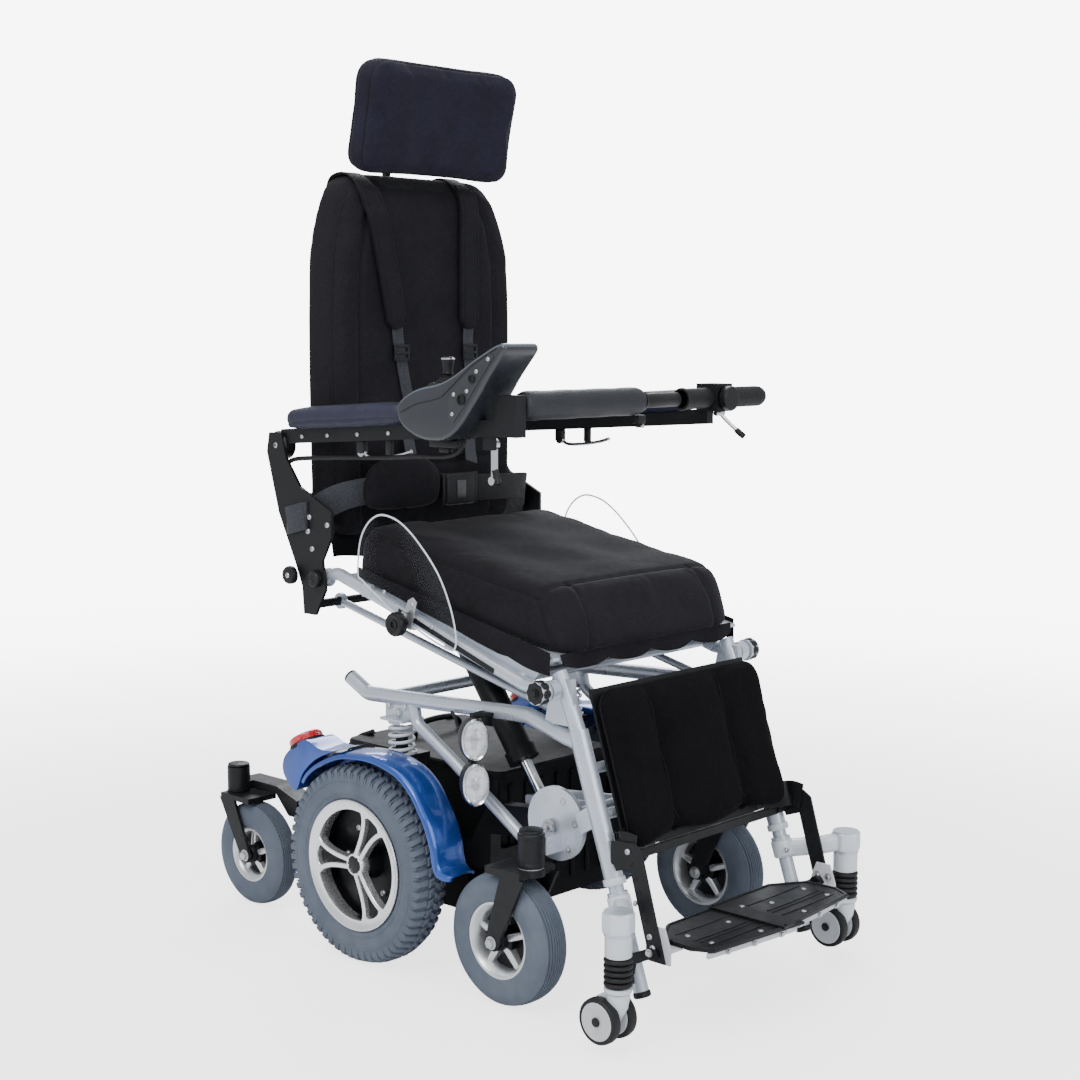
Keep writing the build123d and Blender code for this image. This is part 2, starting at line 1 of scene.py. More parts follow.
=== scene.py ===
import bpy, bmesh, math, random
import numpy as np
from mathutils import Vector, Matrix
from mathutils.bvhtree import BVHTree


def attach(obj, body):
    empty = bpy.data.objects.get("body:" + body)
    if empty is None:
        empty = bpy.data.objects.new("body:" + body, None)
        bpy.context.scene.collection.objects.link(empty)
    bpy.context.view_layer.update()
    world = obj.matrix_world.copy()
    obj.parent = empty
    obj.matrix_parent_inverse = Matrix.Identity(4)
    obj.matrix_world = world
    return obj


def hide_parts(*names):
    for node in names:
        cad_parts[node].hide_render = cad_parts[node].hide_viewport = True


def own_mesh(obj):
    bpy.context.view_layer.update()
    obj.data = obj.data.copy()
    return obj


random.seed(7)
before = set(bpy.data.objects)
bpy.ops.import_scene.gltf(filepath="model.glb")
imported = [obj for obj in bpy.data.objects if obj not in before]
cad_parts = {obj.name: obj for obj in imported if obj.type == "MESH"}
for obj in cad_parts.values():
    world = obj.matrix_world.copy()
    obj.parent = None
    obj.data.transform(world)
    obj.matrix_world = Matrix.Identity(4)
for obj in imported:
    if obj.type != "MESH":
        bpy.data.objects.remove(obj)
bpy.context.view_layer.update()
COL = bpy.context.scene.collection
S = 0.001
LR = (("right", -1.0), ("left", 1.0))
KNEE, BACKP = (-406.0, 535.0), (145.0, 667.0)


# =============================================================== materials
class NT:
    def __init__(self, name):
        self.m = bpy.data.materials.new(name)
        self.m.use_nodes = True
        self.t = self.m.node_tree
        self.t.nodes.clear()
        self.out = self.n("ShaderNodeOutputMaterial")
        self.b = self.n("ShaderNodeBsdfPrincipled")
        self.l(self.b.outputs[0], self.out.inputs[0])
        self.co = self.n("ShaderNodeTexCoord").outputs["Object"]

    def n(self, kind, **kw):
        x = self.t.nodes.new(kind)
        for k, v in kw.items():
            setattr(x, k, v)
        return x

    def l(self, a, b):
        self.t.links.new(a, b)

    def map(self, scale=(1, 1, 1), rot=(0, 0, 0)):
        x = self.n("ShaderNodeMapping")
        x.inputs["Scale"].default_value = scale
        x.inputs["Rotation"].default_value = rot
        self.l(self.co, x.inputs[0])
        return x.outputs[0]

    def noise(self, scale, detail=3, co=None, rough=0.5):
        x = self.n("ShaderNodeTexNoise")
        x.inputs["Scale"].default_value = scale
        x.inputs["Detail"].default_value = detail
        x.inputs["Roughness"].default_value = rough
        self.l(co or self.co, x.inputs["Vector"])
        return x.outputs["Fac"]

    def voro(self, scale, feature="F1", co=None):
        x = self.n("ShaderNodeTexVoronoi", feature=feature)
        x.inputs["Scale"].default_value = scale
        self.l(co or self.co, x.inputs["Vector"])
        return x.outputs["Distance"]

    def wave(self, scale, direction="X", dist=0.0, co=None):
        x = self.n("ShaderNodeTexWave", bands_direction=direction)
        x.inputs["Scale"].default_value = scale
        x.inputs["Distortion"].default_value = dist
        self.l(co or self.co, x.inputs["Vector"])
        return x.outputs["Fac"]

    def ramp(self, fac, a, b, lo=0.0, hi=1.0):
        x = self.n("ShaderNodeValToRGB")
        x.color_ramp.elements[0].position = lo
        x.color_ramp.elements[1].position = hi
        x.color_ramp.elements[0].color = (*a, 1)
        x.color_ramp.elements[1].color = (*b, 1)
        self.l(fac, x.inputs[0])
        return x.outputs[0]

    def rng(self, fac, a, b, lo=0.0, hi=1.0):
        x = self.n("ShaderNodeMapRange")
        for k, v in zip(("From Min", "From Max", "To Min", "To Max"), (lo, hi, a, b)):
            x.inputs[k].default_value = v
        self.l(fac, x.inputs[0])
        return x.outputs[0]

    def math(self, op, a, b):
        x = self.n("ShaderNodeMath", operation=op)
        for i, v in enumerate((a, b)):
            if isinstance(v, (int, float)):
                x.inputs[i].default_value = v
            else:
                self.l(v, x.inputs[i])
        return x.outputs[0]

    def mix(self, fac, a, b):
        x = self.n("ShaderNodeMix", data_type="RGBA")
        for i, v in ((0, fac), (6, a), (7, b)):
            if isinstance(v, (int, float)):
                x.inputs[i].default_value = v
            elif isinstance(v, tuple):
                x.inputs[i].default_value = (*v, 1) if len(v) == 3 else v
            else:
                self.l(v, x.inputs[i])
        return x.outputs[2]

    def bump(self, h, dist, strength=1.0, prev=None):
        x = self.n("ShaderNodeBump")
        x.inputs["Distance"].default_value = dist
        x.inputs["Strength"].default_value = strength
        self.l(h, x.inputs["Height"])
        if prev is not None:
            self.l(prev, x.inputs["Normal"])
        return x.outputs[0]

    def set(self, **kw):
        names = {"col": "Base Color", "rough": "Roughness", "metal": "Metallic", "coat": "Coat Weight", "coatr": "Coat Roughness",
                 "sheen": "Sheen Weight", "sheenr": "Sheen Roughness", "trans": "Transmission Weight", "ior": "IOR", "alpha": "Alpha",
                 "normal": "Normal", "spec": "Specular IOR Level", "sheent": "Sheen Tint", "emit": "Emission Strength", "emitc": "Emission Color"}
        for k, v in kw.items():
            i = self.b.inputs[names[k]]
            if isinstance(v, (int, float)):
                i.default_value = v
            elif isinstance(v, tuple):
                i.default_value = (*v, 1) if len(v) == 3 else v
            else:
                self.l(v, i)
        return self.m

    def grime(self, col, dark, scale=9.0, amt=0.5):
        """col with soft darker patches."""
        f = self.rng(self.noise(scale, 5), 0.0, amt, 0.45, 0.8)
        return self.mix(f, col, dark)

    def edge(self, col, worn, lo=0.515, hi=0.56, scale=60.0):
        g = self.n("ShaderNodeNewGeometry").outputs["Pointiness"]
        e = self.rng(g, 0.0, 1.0, lo, hi)
        e = self.math("MULTIPLY", e, self.rng(self.noise(scale, 4), 0.0, 1.0, 0.42, 0.62))
        return self.mix(e, col, worn)


def m_powder(name, c, metal=0.55, rough=0.34, peel=900.0, wear=None, coat=0.25, spec=0.5):
    t = NT(name)
    v = t.noise(14, 4)
    a = tuple(x * 0.9 for x in c)
    col = t.ramp(v, a, c, 0.35, 0.65)
    col = t.grime(col, tuple(x * 0.72 for x in c), 7.0, 0.3)
    if wear:
        col = t.edge(col, wear)
    fine = t.noise(peel, 2)
    r = t.rng(t.noise(40, 4), rough - 0.05, rough + 0.08, 0.3, 0.7)
    return t.set(col=col, metal=metal, rough=r, coat=coat, coatr=0.18, spec=spec, normal=t.bump(fine, 0.00008, 0.25))


def m_flake(name, c, deep):
    t = NT(name)
    fl = t.voro(1500)
    v = t.rng(fl, 0.0, 0.22, 0.0, 0.6)
    col = t.ramp(t.noise(6, 3), deep, c, 0.35, 0.65)
    col = t.mix(v, col, tuple(min(1, x * 1.9 + 0.03) for x in c))
    return t.set(col=col, metal=0.6, rough=t.rng(t.noise(25, 4), 0.24, 0.36), coat=0.9, coatr=0.06, normal=t.bump(t.noise(500, 2), 0.0003, 0.25))


def m_rubber(name, c, dust, rough=0.72, fine=700.0, dusty=0.5):
    t = NT(name)
    col = t.ramp(t.noise(30, 5), tuple(x * 0.86 for x in c), c, 0.35, 0.65)
    col = t.mix(t.rng(t.noise(8, 6, rough=0.65), 0.0, dusty, 0.46, 0.78), col, dust)
    n = t.bump(t.noise(fine, 3), 0.0006, 0.45)
    return t.set(col=col, rough=t.rng(t.noise(60, 3), rough - 0.08, rough + 0.12), spec=0.35, normal=n)


def m_knit(name, c, hi, pitch=260.0, sheen=0.045, puff=0.0006):
    """Stretch knit: two layers of drawn-out threads, soft sheen, faint lint."""
    t = NT(name)
    ty = t.noise(1.0, 2, t.map((pitch * 5, pitch * 5, pitch * 0.9)))
    tx = t.noise(1.0, 2, t.map((pitch * 0.9, pitch * 4, pitch * 5)))
    w = t.math("MULTIPLY", ty, tx)
    col = t.ramp(w, c, hi, 0.12, 0.42)
    col = t.mix(t.rng(t.noise(16, 4), 0.0, 0.5, 0.4, 0.75), col, tuple(x * 0.5 for x in c))
    lint = t.rng(t.voro(420), 1.0, 0.0, 0.0, 0.05)
    col = t.mix(t.math("MULTIPLY", lint, 0.10), col, (0.10, 0.10, 0.11))
    n = t.bump(w, puff, 0.5)
    n = t.bump(t.noise(22, 4), 0.004, 0.2, n)
    return t.set(col=col, rough=t.rng(t.noise(90, 2), 0.74, 0.92), sheen=sheen, sheenr=0.35, spec=0.22, normal=n)


def m_web(name, c, hi):
    """Woven webbing: short herringbone ribs."""
    t = NT(name)
    h = t.math("MULTIPLY", t.noise(1.0, 2, t.map((900, 900, 260))), t.noise(1.0, 2, t.map((240, 800, 900))))
    col = t.ramp(h, c, hi, 0.12, 0.45)
    return t.set(col=col, rough=t.rng(t.noise(60, 2), 0.6, 0.78), sheen=0.08, spec=0.3, normal=t.bump(h, 0.0008, 0.7))


def m_vinyl(name, c, rough=0.5):
    t = NT(name)
    g = t.voro(620, "DISTANCE_TO_EDGE")
    f = t.rng(g, 0.0, 1.0, 0.0, 0.28)
    col = t.ramp(t.noise(18, 5), tuple(x * 0.8 for x in c), c, 0.3, 0.7)
    col = t.mix(t.rng(f, 0.35, 0.0), col, tuple(x * 0.55 for x in c))
    n = t.bump(f, 0.0005, 0.45)
    n = t.bump(t.noise(26, 3), 0.003, 0.15, n)
    return t.set(col=col, rough=t.rng(t.noise(45, 4), rough - 0.08, rough + 0.1), spec=0.45, normal=n)


def m_plastic(name, c, rough=0.45, grain=900.0, depth=0.0004, coat=0.0, wear=False, spec=0.5, bs=0.3):
    t = NT(name)
    col = t.ramp(t.noise(22, 5), tuple(x * 0.82 for x in c), c, 0.3, 0.7)
    if wear:
        col = t.edge(col, tuple(min(1, x * 1.6 + 0.03) for x in c))
    n = t.bump(t.voro(grain), depth, bs)
    return t.set(col=col, rough=t.rng(t.noise(50, 4), rough - 0.07, rough + 0.1), coat=coat, coatr=0.15, spec=spec, normal=n)


def m_chrome(name, c=(0.8, 0.81, 0.83), rough=0.09):
    t = NT(name)
    r = t.rng(t.noise(55, 6), rough * 0.5, rough * 2.4, 0.3, 0.75)
    sm = t.wave(340, "Z", 4.0)
    return t.set(col=t.ramp(t.noise(12, 3), tuple(x * 0.9 for x in c), c), metal=1.0, rough=r, normal=t.bump(sm, 0.0001, 0.12))


def m_machined(name, c=(0.86, 0.87, 0.88), rough=0.2):
    t = NT(name)
    r = t.rng(t.noise(120, 4), rough - 0.05, rough + 0.12)
    return t.set(col=t.grime(t.ramp(t.noise(20, 3), tuple(x * 0.93 for x in c), c), tuple(x * 0.6 for x in c), 18, 0.22), metal=0.85, rough=r, coat=0.5, coatr=0.12,
                 normal=t.bump(t.noise(300, 2), 0.00006, 0.12))


def m_clear(name, tint=(0.30, 0.33, 0.37), rough=0.02):
    """Clear sheet: see-through face on, glossy at a slant."""
    t = NT(name)
    lw = t.n("ShaderNodeLayerWeight")
    lw.inputs[0].default_value = 0.3
    a = t.rng(lw.outputs["Facing"], 0.0, 0.5, 0.24, 1.0)
    return t.set(col=t.ramp(t.noise(5, 2), tuple(x * 0.96 for x in tint), tint), rough=t.rng(t.noise(30, 5), rough, rough + 0.06), alpha=a, spec=0.9, coat=0.8, coatr=0.02)


def m_lens(name, c=(0.86, 0.88, 0.9)):
    t = NT(name)
    w = t.wave(26, "X", 0.0)
    v = t.wave(20, "Z", 0.0)
    h = t.math("ADD", w, v)
    return t.set(col=t.ramp(h, tuple(x * 0.8 for x in c), c), rough=0.06, alpha=t.rng(h, 0.06, 0.26, 0.0, 2.0), spec=0.8, coat=1.0, coatr=0.02, normal=t.bump(h, 0.002, 0.35))


def m_redlens(name):
    t = NT(name)
    h = t.voro(150)
    return t.set(col=t.ramp(h, (0.75, 0.012, 0.018), (0.42, 0.004, 0.008), 0.0, 0.7), rough=0.12, coat=1.0, coatr=0.03, spec=0.6, emit=0.12, emitc=(0.8, 0.02, 0.02), normal=t.bump(h, 0.0015, 0.5))


SILVER = m_powder("silver_powder", (0.58, 0.63, 0.71), 0.5, 0.30)
CLAMP = m_powder("clamp_grey", (0.70, 0.74, 0.79), 0.1, 0.40, coat=0.4)
BLUE = m_flake("metallic_blue", (0.012, 0.073, 0.36), (0.006, 0.034, 0.20))
BLACKM = m_powder("satin_black", (0.0075, 0.008, 0.0095), 0.0, 0.42, coat=0.0, spec=0.28)
STEEL = m_machined("zinc_steel", (0.55, 0.56, 0.58), 0.28)
TYRE = m_rubber("tyre_grey", (0.100, 0.122, 0.160), (0.168, 0.192, 0.228), 0.66)
RIMS = m_machined("rim_face", (0.93, 0.94, 0.95), 0.22)
RIMD = m_plastic("rim_dark", (0.0045, 0.0048, 0.006), 0.42, 500.0, 0.0001, spec=0.25, bs=0.12)
CASTRIM = m_machined("castor_rim", (0.74, 0.76, 0.78), 0.3)
KNIT = m_knit("knit_black", (0.0032, 0.0029, 0.0045), (0.0122, 0.0113, 0.0162))
# Calf pad knit: the black knit at half brightness with low specular, painted shade for the pad lying in the seat's
# shadow.
KNIT_CALF_SHADED = m_knit("knit_calf_painted_shade", (0.0014, 0.0013, 0.0018), (0.0058, 0.0054, 0.0066), 260.0, 0.0)
for n_ in KNIT_CALF_SHADED.node_tree.nodes:
    if n_.type == "BSDF_PRINCIPLED":
        n_.inputs["Specular IOR Level"].default_value = 0.09
KNIT2 = m_knit("knit_navy", (0.0048, 0.0043, 0.0105), (0.0182, 0.0162, 0.0370), 240.0, 0.08)
PIPING = m_knit("piping_black", (0.003, 0.003, 0.004), (0.010, 0.010, 0.012), 500.0, 0.04)
VINYL = m_vinyl("arm_vinyl", (0.0145, 0.0165, 0.0420))
VINYLB = m_vinyl("pad_vinyl", (0.0120, 0.0135, 0.0190), 0.44)
PLAST = m_plastic("black_plastic", (0.0070, 0.0073, 0.0082), 0.42, spec=0.35)
POD = m_plastic("pod_charcoal", (0.0150, 0.0175, 0.0235), 0.30, 700.0, 0.0003, 0.5)
# Lighter blue-grey for the pod's upward-facing faces: a painted highlight on the top.
POD_TOP_HIGHLIGHT = m_plastic("pod_top_painted_highlight", (0.060, 0.075, 0.100), 0.22, 1200.0, 0.0002, 0.8)
PANEL = m_plastic("pod_panel", (0.026, 0.028, 0.032), 0.42)
RUBB = m_rubber("black_rubber", (0.006, 0.006, 0.007), (0.03, 0.03, 0.033), 0.5, 900.0, 0.15)
CHROME = m_chrome("chrome")
REFL = m_chrome("reflector", (0.72, 0.74, 0.77), 0.12)
_t = REFL.node_tree
_v = _t.nodes.new("ShaderNodeTexVoronoi")
_v.inputs["Scale"].default_value = 75
_b = _t.nodes.new("ShaderNodeBump")
_b.inputs["Distance"].default_value = 0.003
_b.inputs["Strength"].default_value = 0.45
_t.links.new(_t.nodes["Texture Coordinate"].outputs["Object"], _v.inputs["Vector"])
_t.links.new(_v.outputs["Distance"], _b.inputs["Height"])
_t.links.new(_b.outputs[0], _t.nodes["Principled BSDF"].inputs["Normal"])
CLEAR = m_clear("clear_guard")
LENS = m_lens("lamp_lens")
RED = m_redlens("tail_red")
GREY = m_plastic("light_grey_plastic", (0.60, 0.62, 0.65), 0.38, 1100.0, 0.0002, 0.3)
WEBG = m_web("webbing_grey", (0.012, 0.0132, 0.0165), (0.048, 0.052, 0.064))
WEBB = m_web("webbing_black", (0.003, 0.003, 0.004), (0.012, 0.012, 0.014))
BATT = m_plastic("battery_case", (0.0065, 0.0068, 0.0076), 0.55, 500.0, 0.0005, spec=0.18)
# Near-white rim strip: painted highlight along the clear guard's edge.
GUARD_EDGE_GLINT = m_plastic("guard_edge_painted_highlight", (0.80, 0.84, 0.88), 0.10, 300, 0.0003, 1.0)
BUTTON = m_plastic("buckle_button", (0.05, 0.05, 0.055), 0.35, 900, 0.0002, 0.3)


# =============================================================== geometry
def join(*gs):
    V, F, o = [], [], 0
    for v, f in gs:
        v = np.asarray(v, float).reshape(-1, 3)
        V.append(v)
        F += [tuple(i + o for i in q) for q in f]
        o += len(v)
    return np.concatenate(V), F


def mx(g):
    v, f = g
    v = np.array(v, float)
    v[:, 0] *= -1
    return v, [tuple(reversed(q)) for q in f]


def sided(g, s):
    return g if s > 0 else mx(g)


def mv(g, d):
    return np.asarray(g[0], float) + np.array(d, float), g[1]


def rot(g, c, axis, deg):
    R = np.array(Matrix.Rotation(math.radians(deg), 3, Vector(axis)))
    c = np.array(c, float)
    return (np.asarray(g[0], float) - c) @ R.T + c, g[1]


def frame_of(axis):
    a = np.array(axis, float)
    a /= np.linalg.norm(a)
    h = np.array([0, 0, 1.0]) if abs(a[2]) < 0.9 else np.array([0, 1.0, 0])
    u = np.cross(h, a)
    u /= np.linalg.norm(u)
    return a, u, np.cross(a, u)


def lathe(prof, c, axis=(1, 0, 0), n=64, closed=False):
    """prof: (distance along axis, radius). closed: the profile is a loop."""
    a, u, w = frame_of(axis)
    c = np.array(c, float)
    V, F, rows = [], [], []
    for t, r in prof:
        if r < 1e-6:
            rows.append([len(V)])
            V.append(c + a * t)
        else:
            rows.append(list(range(len(V), len(V) + n)))
            for k in range(n):
                th = 2 * math.pi * k / n
                V.append(c + a * t + r * (u * math.cos(th) + w * math.sin(th)))
    pairs = list(zip(rows, rows[1:]))
    if closed:
        pairs.append((rows[-1], rows[0]))
    for p, q in pairs:
        for k in range(n):
            k2 = (k + 1) % n
            if len(p) == 1 and len(q) == 1:
                continue
            if len(p) == 1:
                F.append((p[0], q[k2], q[k]))
            elif len(q) == 1:
                F.append((p[k], p[k2], q[0]))
            else:
                F.append((p[k], p[k2], q[k2], q[k]))
    return np.array(V), F


def cyl(p, q, r, b=1.0, n=32, r2=None):
    """A solid cylinder or cone with a small rounded edge b."""
    p, q = np.array(p, float), np.array(q, float)
    L = np.linalg.norm(q - p)
    r2 = r if r2 is None else r2
    b = min(b, L * 0.45, r * 0.9, r2 * 0.9)
    prof = [(0, 0), (0, r - b), (b * 0.3, r - b * 0.3), (b, r), (L - b, r2), (L - b * 0.3, r2 - b * 0.3), (L, r2 - b), (L, 0)]
    return lathe(prof, p, q - p, n)


def cx(x0, x1, y, z, r, b=1.0, n=32):
    return cyl((x0, y, z), (x1, y, z), r, b, n)


def box(x0, x1, y0, y1, z0, z1):
    V = [(x, y, z) for x in (x0, x1) for y in (y0, y1) for z in (z0, z1)]
    return np.array(V, float), [(0, 1, 3, 2), (4, 6, 7, 5), (0, 4, 5, 1), (2, 3, 7, 6), (0, 2, 6, 4), (1, 5, 7, 3)]


def prism(pts, x0, x1, plane="YZ"):
    """A flat outline given thickness. plane YZ: along X; XZ: along Y; XY: along Z."""
    def p3(a, b, t):
        return {"YZ": (t, a, b), "XZ": (a, t, b), "XY": (a, b, t)}[plane]
    n = len(pts)
    V = [p3(a, b, x0) for a, b in pts] + [p3(a, b, x1) for a, b in pts]
    F = [tuple(range(n)), tuple(range(2 * n - 1, n - 1, -1))]
    F += [(i, i + n, (i + 1) % n + n, (i + 1) % n) for i in range(n)]
    return np.array(V, float), F


def spline(pts, k=8, closed=False):
    """Catmull-Rom through the points."""
    P = [np.array(p, float) for p in pts]
    n = len(P)
    out = []
    rng = range(n if closed else n - 1)
    for i in rng:
        p0 = P[(i - 1) % n] if closed or i > 0 else 2 * P[0] - P[1]
        p1, p2 = P[i], P[(i + 1) % n]
        p3 = P[(i + 2) % n] if closed or i + 2 < n else 2 * P[-1] - P[-2]
        for j in range(k):
            t = j / k
            out.append(0.5 * ((2 * p1) + (-p0 + p2) * t + (2 * p0 - 5 * p1 + 4 * p2 - p3) * t * t + (-p0 + 3 * p1 - 3 * p2 + p3) * t ** 3))
    if not closed:
        out.append(P[-1])
    return np.array(out)


def sweep(path, sect, up=(0, 0, 1), closed=False, scale=None, fixed=None):
    """Sweeps a closed section (s, t) along path. s runs to the side, t along the normal. fixed: constant side vector."""
    P = np.asarray(path, float)
    n = len(P)
    T = np.gradient(P, axis=0) if not closed else (np.roll(P, -1, 0) - np.roll(P, 1, 0))
    T /= np.linalg.norm(T, axis=1)[:, None]
    V, F, m = [], [], len(sect)
    nrm = np.array(up, float)
    for i in range(n):
        if fixed is not None:
            side = np.array(fixed, float)
            side = side - T[i] * (side @ T[i])
            side /= np.linalg.norm(side)
            nn = np.cross(side, T[i])
        else:
            nn = nrm - T[i] * (nrm @ T[i])
            if np.linalg.norm(nn) < 1e-6:
                nn = np.array([1.0, 0, 0]) - T[i] * T[i][0]
            nn /= np.linalg.norm(nn)
            nrm = nn
            side = np.cross(T[i], nn)
        k = 1.0 if scale is None else scale[i]
        for s, t in sect:
            V.append(P[i] + side * s * k + nn * t * k)
    for i in range(n - (0 if closed else 1)):
        j = (i + 1) % n
        for a in range(m):
            b = (a + 1) % m
            F.append((i * m + a, i * m + b, j * m + b, j * m + a))
    if not closed:
        F.append(tuple(reversed(range(m))))
        F.append(tuple(range((n - 1) * m, n * m)))
    return np.array(V), F


def circ(r, n=16):
    return [(r * math.cos(2 * math.pi * k / n), r * math.sin(2 * math.pi * k / n)) for k in range(n)]


def rrect(w, h, r, k=3):
    """Rounded rectangle section, centred."""
    out = []
    for cx_, cy_, a0 in ((w / 2 - r, h / 2 - r, 0), (-w / 2 + r, h / 2 - r, 90), (-w / 2 + r, -h / 2 + r, 180), (w / 2 - r, -h / 2 + r, 270)):
        for i in range(k + 1):
            a = math.radians(a0 + 90 * i / k)
            out.append((cx_ + r * math.cos(a), cy_ + r * math.sin(a)))
    return out


def tube(pts, r, n=16, k=6, straight=False):
    P = np.array(pts, float) if straight else spline(pts, k)
    return sweep(P, circ(r, n), up=(0.13, 0.21, 0.97))


def strap(pts, w, t, side, k=8, edge=0.8):
    return sweep(spline(pts, k), rrect(w, t, min(edge, t * 0.49), 2), fixed=side)


def put(name, g, mat, body=None, bevel=0.0, seg=2, sub=0, ang=38, rep=(), ride=True, flip=False):
    V, F = g
    me = bpy.data.meshes.new(name)
    me.from_pydata([tuple(v) for v in np.asarray(V, float) * S], [], F)
    me.materials.append(mat)
    bm = bmesh.new()
    bm.from_mesh(me)
    bmesh.ops.remove_doubles(bm, verts=bm.verts, dist=1e-6)
    bmesh.ops.recalc_face_normals(bm, faces=bm.faces)
    bm.to_mesh(me)
    bm.free()
    o = bpy.data.objects.new(name, me)
    COL.objects.link(o)
    if bevel:
        b = o.modifiers.new("b", "BEVEL")
        b.width, b.segments, b.limit_method, b.angle_limit = bevel * S, seg, "ANGLE", math.radians(32)
        b.harden_normals = False
    if sub:
        s = o.modifiers.new("s", "SUBSURF")
        s.levels = s.render_levels = sub
    if bevel or sub:
        apply(o)
    shade(o, ang)
    if body:
        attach(o, body)
    for r in ([rep] if isinstance(rep, str) else rep):
        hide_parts(r)
    return o


def apply(o):
    bpy.context.view_layer.update()
    dg = bpy.context.evaluated_depsgraph_get()
    me = bpy.data.meshes.new_from_object(o.evaluated_get(dg))
    o.modifiers.clear()
    old = o.data
    o.data = me
    bpy.data.meshes.remove(old)


def shade(o, ang=38):
    bm = bmesh.new()
    bm.from_mesh(o.data)
    lim = math.radians(ang)
    for f in bm.faces:
        f.smooth = True
    for e in bm.edges:
        e.smooth = len(e.link_faces) == 2 and e.calc_face_angle(0) < lim
    bm.to_mesh(o.data)
    bm.free()


def coords(o):
    a = np.zeros(len(o.data.vertices) * 3)
    o.data.vertices.foreach_get("co", a)
    return a.reshape(-1, 3)


def setco(o, a):
    o.data.vertices.foreach_set("co", np.asarray(a, float).ravel())
    o.data.update()


def normals(o):
    a = np.zeros(len(o.data.vertices) * 3)
    o.data.vertices.foreach_get("normal", a)
    return a.reshape(-1, 3)


TIMES = []


def soften(o, voxel=6.0, cap=10.0, pressure=4.0, frames=20, stiff=12.0):
    """Voxel remesh, then inflate as cloth, limit the movement, subdivide once."""
    r = o.modifiers.new("r", "REMESH")
    r.mode, r.voxel_size = "VOXEL", voxel * S
    r.use_smooth_shade = True
    apply(o)
    sm = o.modifiers.new("sm", "SMOOTH")
    sm.factor, sm.iterations = 0.5, 2
    apply(o)
    rest = coords(o)
    c = o.modifiers.new("c", "CLOTH")
    st = c.settings
    st.quality = 3
    st.use_pressure = True
    st.uniform_pressure_force = pressure
    st.tension_stiffness = st.compression_stiffness = stiff
    st.shear_stiffness = 5
    st.bending_stiffness = 0.5
    st.effector_weights.gravity = 0
    c.collision_settings.use_collision = False
    sc = bpy.context.scene
    for f in range(1, frames + 1):
        sc.frame_set(f)
    dg = bpy.context.evaluated_depsgraph_get()
    ev = o.evaluated_get(dg)
    now = np.zeros(len(ev.data.vertices) * 3)
    ev.data.vertices.foreach_get("co", now)
    now = now.reshape(-1, 3)
    d = now - rest
    L = np.linalg.norm(d, axis=1)
    k = np.minimum(1, cap * S / np.maximum(L, 1e-9))
    new = rest + d * k[:, None]
    o.modifiers.clear()
    sc.frame_set(1)
    setco(o, new)
    s = o.modifiers.new("s", "SUBSURF")
    s.levels = s.render_levels = 1
    apply(o)
    for p in o.data.polygons:
        p.use_smooth = True
    return o


def dist_line(P, path):
    """Distance from each point to a polyline."""
    best = np.full(len(P), 1e9)
    for a, b in zip(path[:-1], path[1:]):
        d = b - a
        L = max(d @ d, 1e-12)
        t = np.clip(((P - a) @ d) / L, 0, 1)
        q = a + t[:, None] * d
        best = np.minimum(best, np.linalg.norm(P - q, axis=1))
    return best


def groove(o, path, depth=4.0, width=6.0):
    P = coords(o)
    N = normals(o)
    d = dist_line(P, np.asarray(path, float) * S)
    w = np.exp(-(d / (width * S)) ** 2)
    setco(o, P - N * (w * depth * S)[:, None])


TREES = {}


def on_surface(o, path):
    """Path pulled onto the surface of o, with the surface directions."""
    if o.name not in TREES:
        TREES[o.name] = BVHTree.FromPolygons([v.co for v in o.data.vertices], [p.vertices for p in o.data.polygons])
    L, N = [], []
    for p in np.asarray(path, float):
        loc, nor, _, _ = TREES[o.name].find_nearest(Vector(p * S))
        L.append(np.array(loc) / S)
        N.append(np.array(nor))
    return np.array(L), np.array(N)


def dense(path, step=8.0):
    P = np.asarray(path, float)
    out = [P[0]]
    for a, b in zip(P[:-1], P[1:]):
        n = max(1, int(np.linalg.norm(b - a) / step))
        for i in range(1, n + 1):
            out.append(a + (b - a) * i / n)
    return np.array(out)


def seam(o, path, name, body, depth=4.0, width=6.0, cord=1.6, mat=None, closed=False):
    """A sewn line: a groove in the pad and a fine cord lying in it."""
    P, N = on_surface(o, dense(path))
    groove(o, P, depth, width)
    Q = P - N * (depth + cord * 0.2)
    for _ in range(2):
        Q[1:-1] = (Q[:-2] + 2 * Q[1:-1] + Q[2:]) / 4
    return put(name, sweep(Q, circ(cord, 8), up=(0.2, 0.3, 0.9), closed=closed), mat or PIPING, body)


def hexbolt(p, d, r=6.0, h=4.5):
    """A hex head on a washer, d points out."""
    a, u, w = frame_of(d)
    p = np.array(p, float)
    wash = cyl(p, p + a * 1.4, r * 1.35, 0.4, 20)
    ring = [p + a * 1.4 + r * (u * math.cos(math.pi * k / 3) + w * math.sin(math.pi * k / 3)) for k in range(6)]
    top = [q + a * h for q in ring]
    tin = [p + a * (1.4 + h + 0.8) + (q - p - a * 1.4) * 0.82 for q in ring]
    V = ring + top + tin
    F = [(i, (i + 1) % 6, (i + 1) % 6 + 6, i + 6) for i in range(6)] + [(i + 6, (i + 1) % 6 + 6, (i + 1) % 6 + 12, i + 12) for i in range(6)] + [tuple(range(12, 18)), tuple(reversed(range(6)))]
    return join(wash, (np.array(V), F))


def capscrew(p, d, r=5.0, h=4.0):
    """A dome socket head with its recess."""
    a, u, w = frame_of(d)
    return lathe([(0, 0), (0, r), (h * 0.45, r), (h * 0.85, r * 0.8), (h, r * 0.55), (h, r * 0.42), (h * 0.4, r * 0.4), (h * 0.4, 0)], p, d, 20)


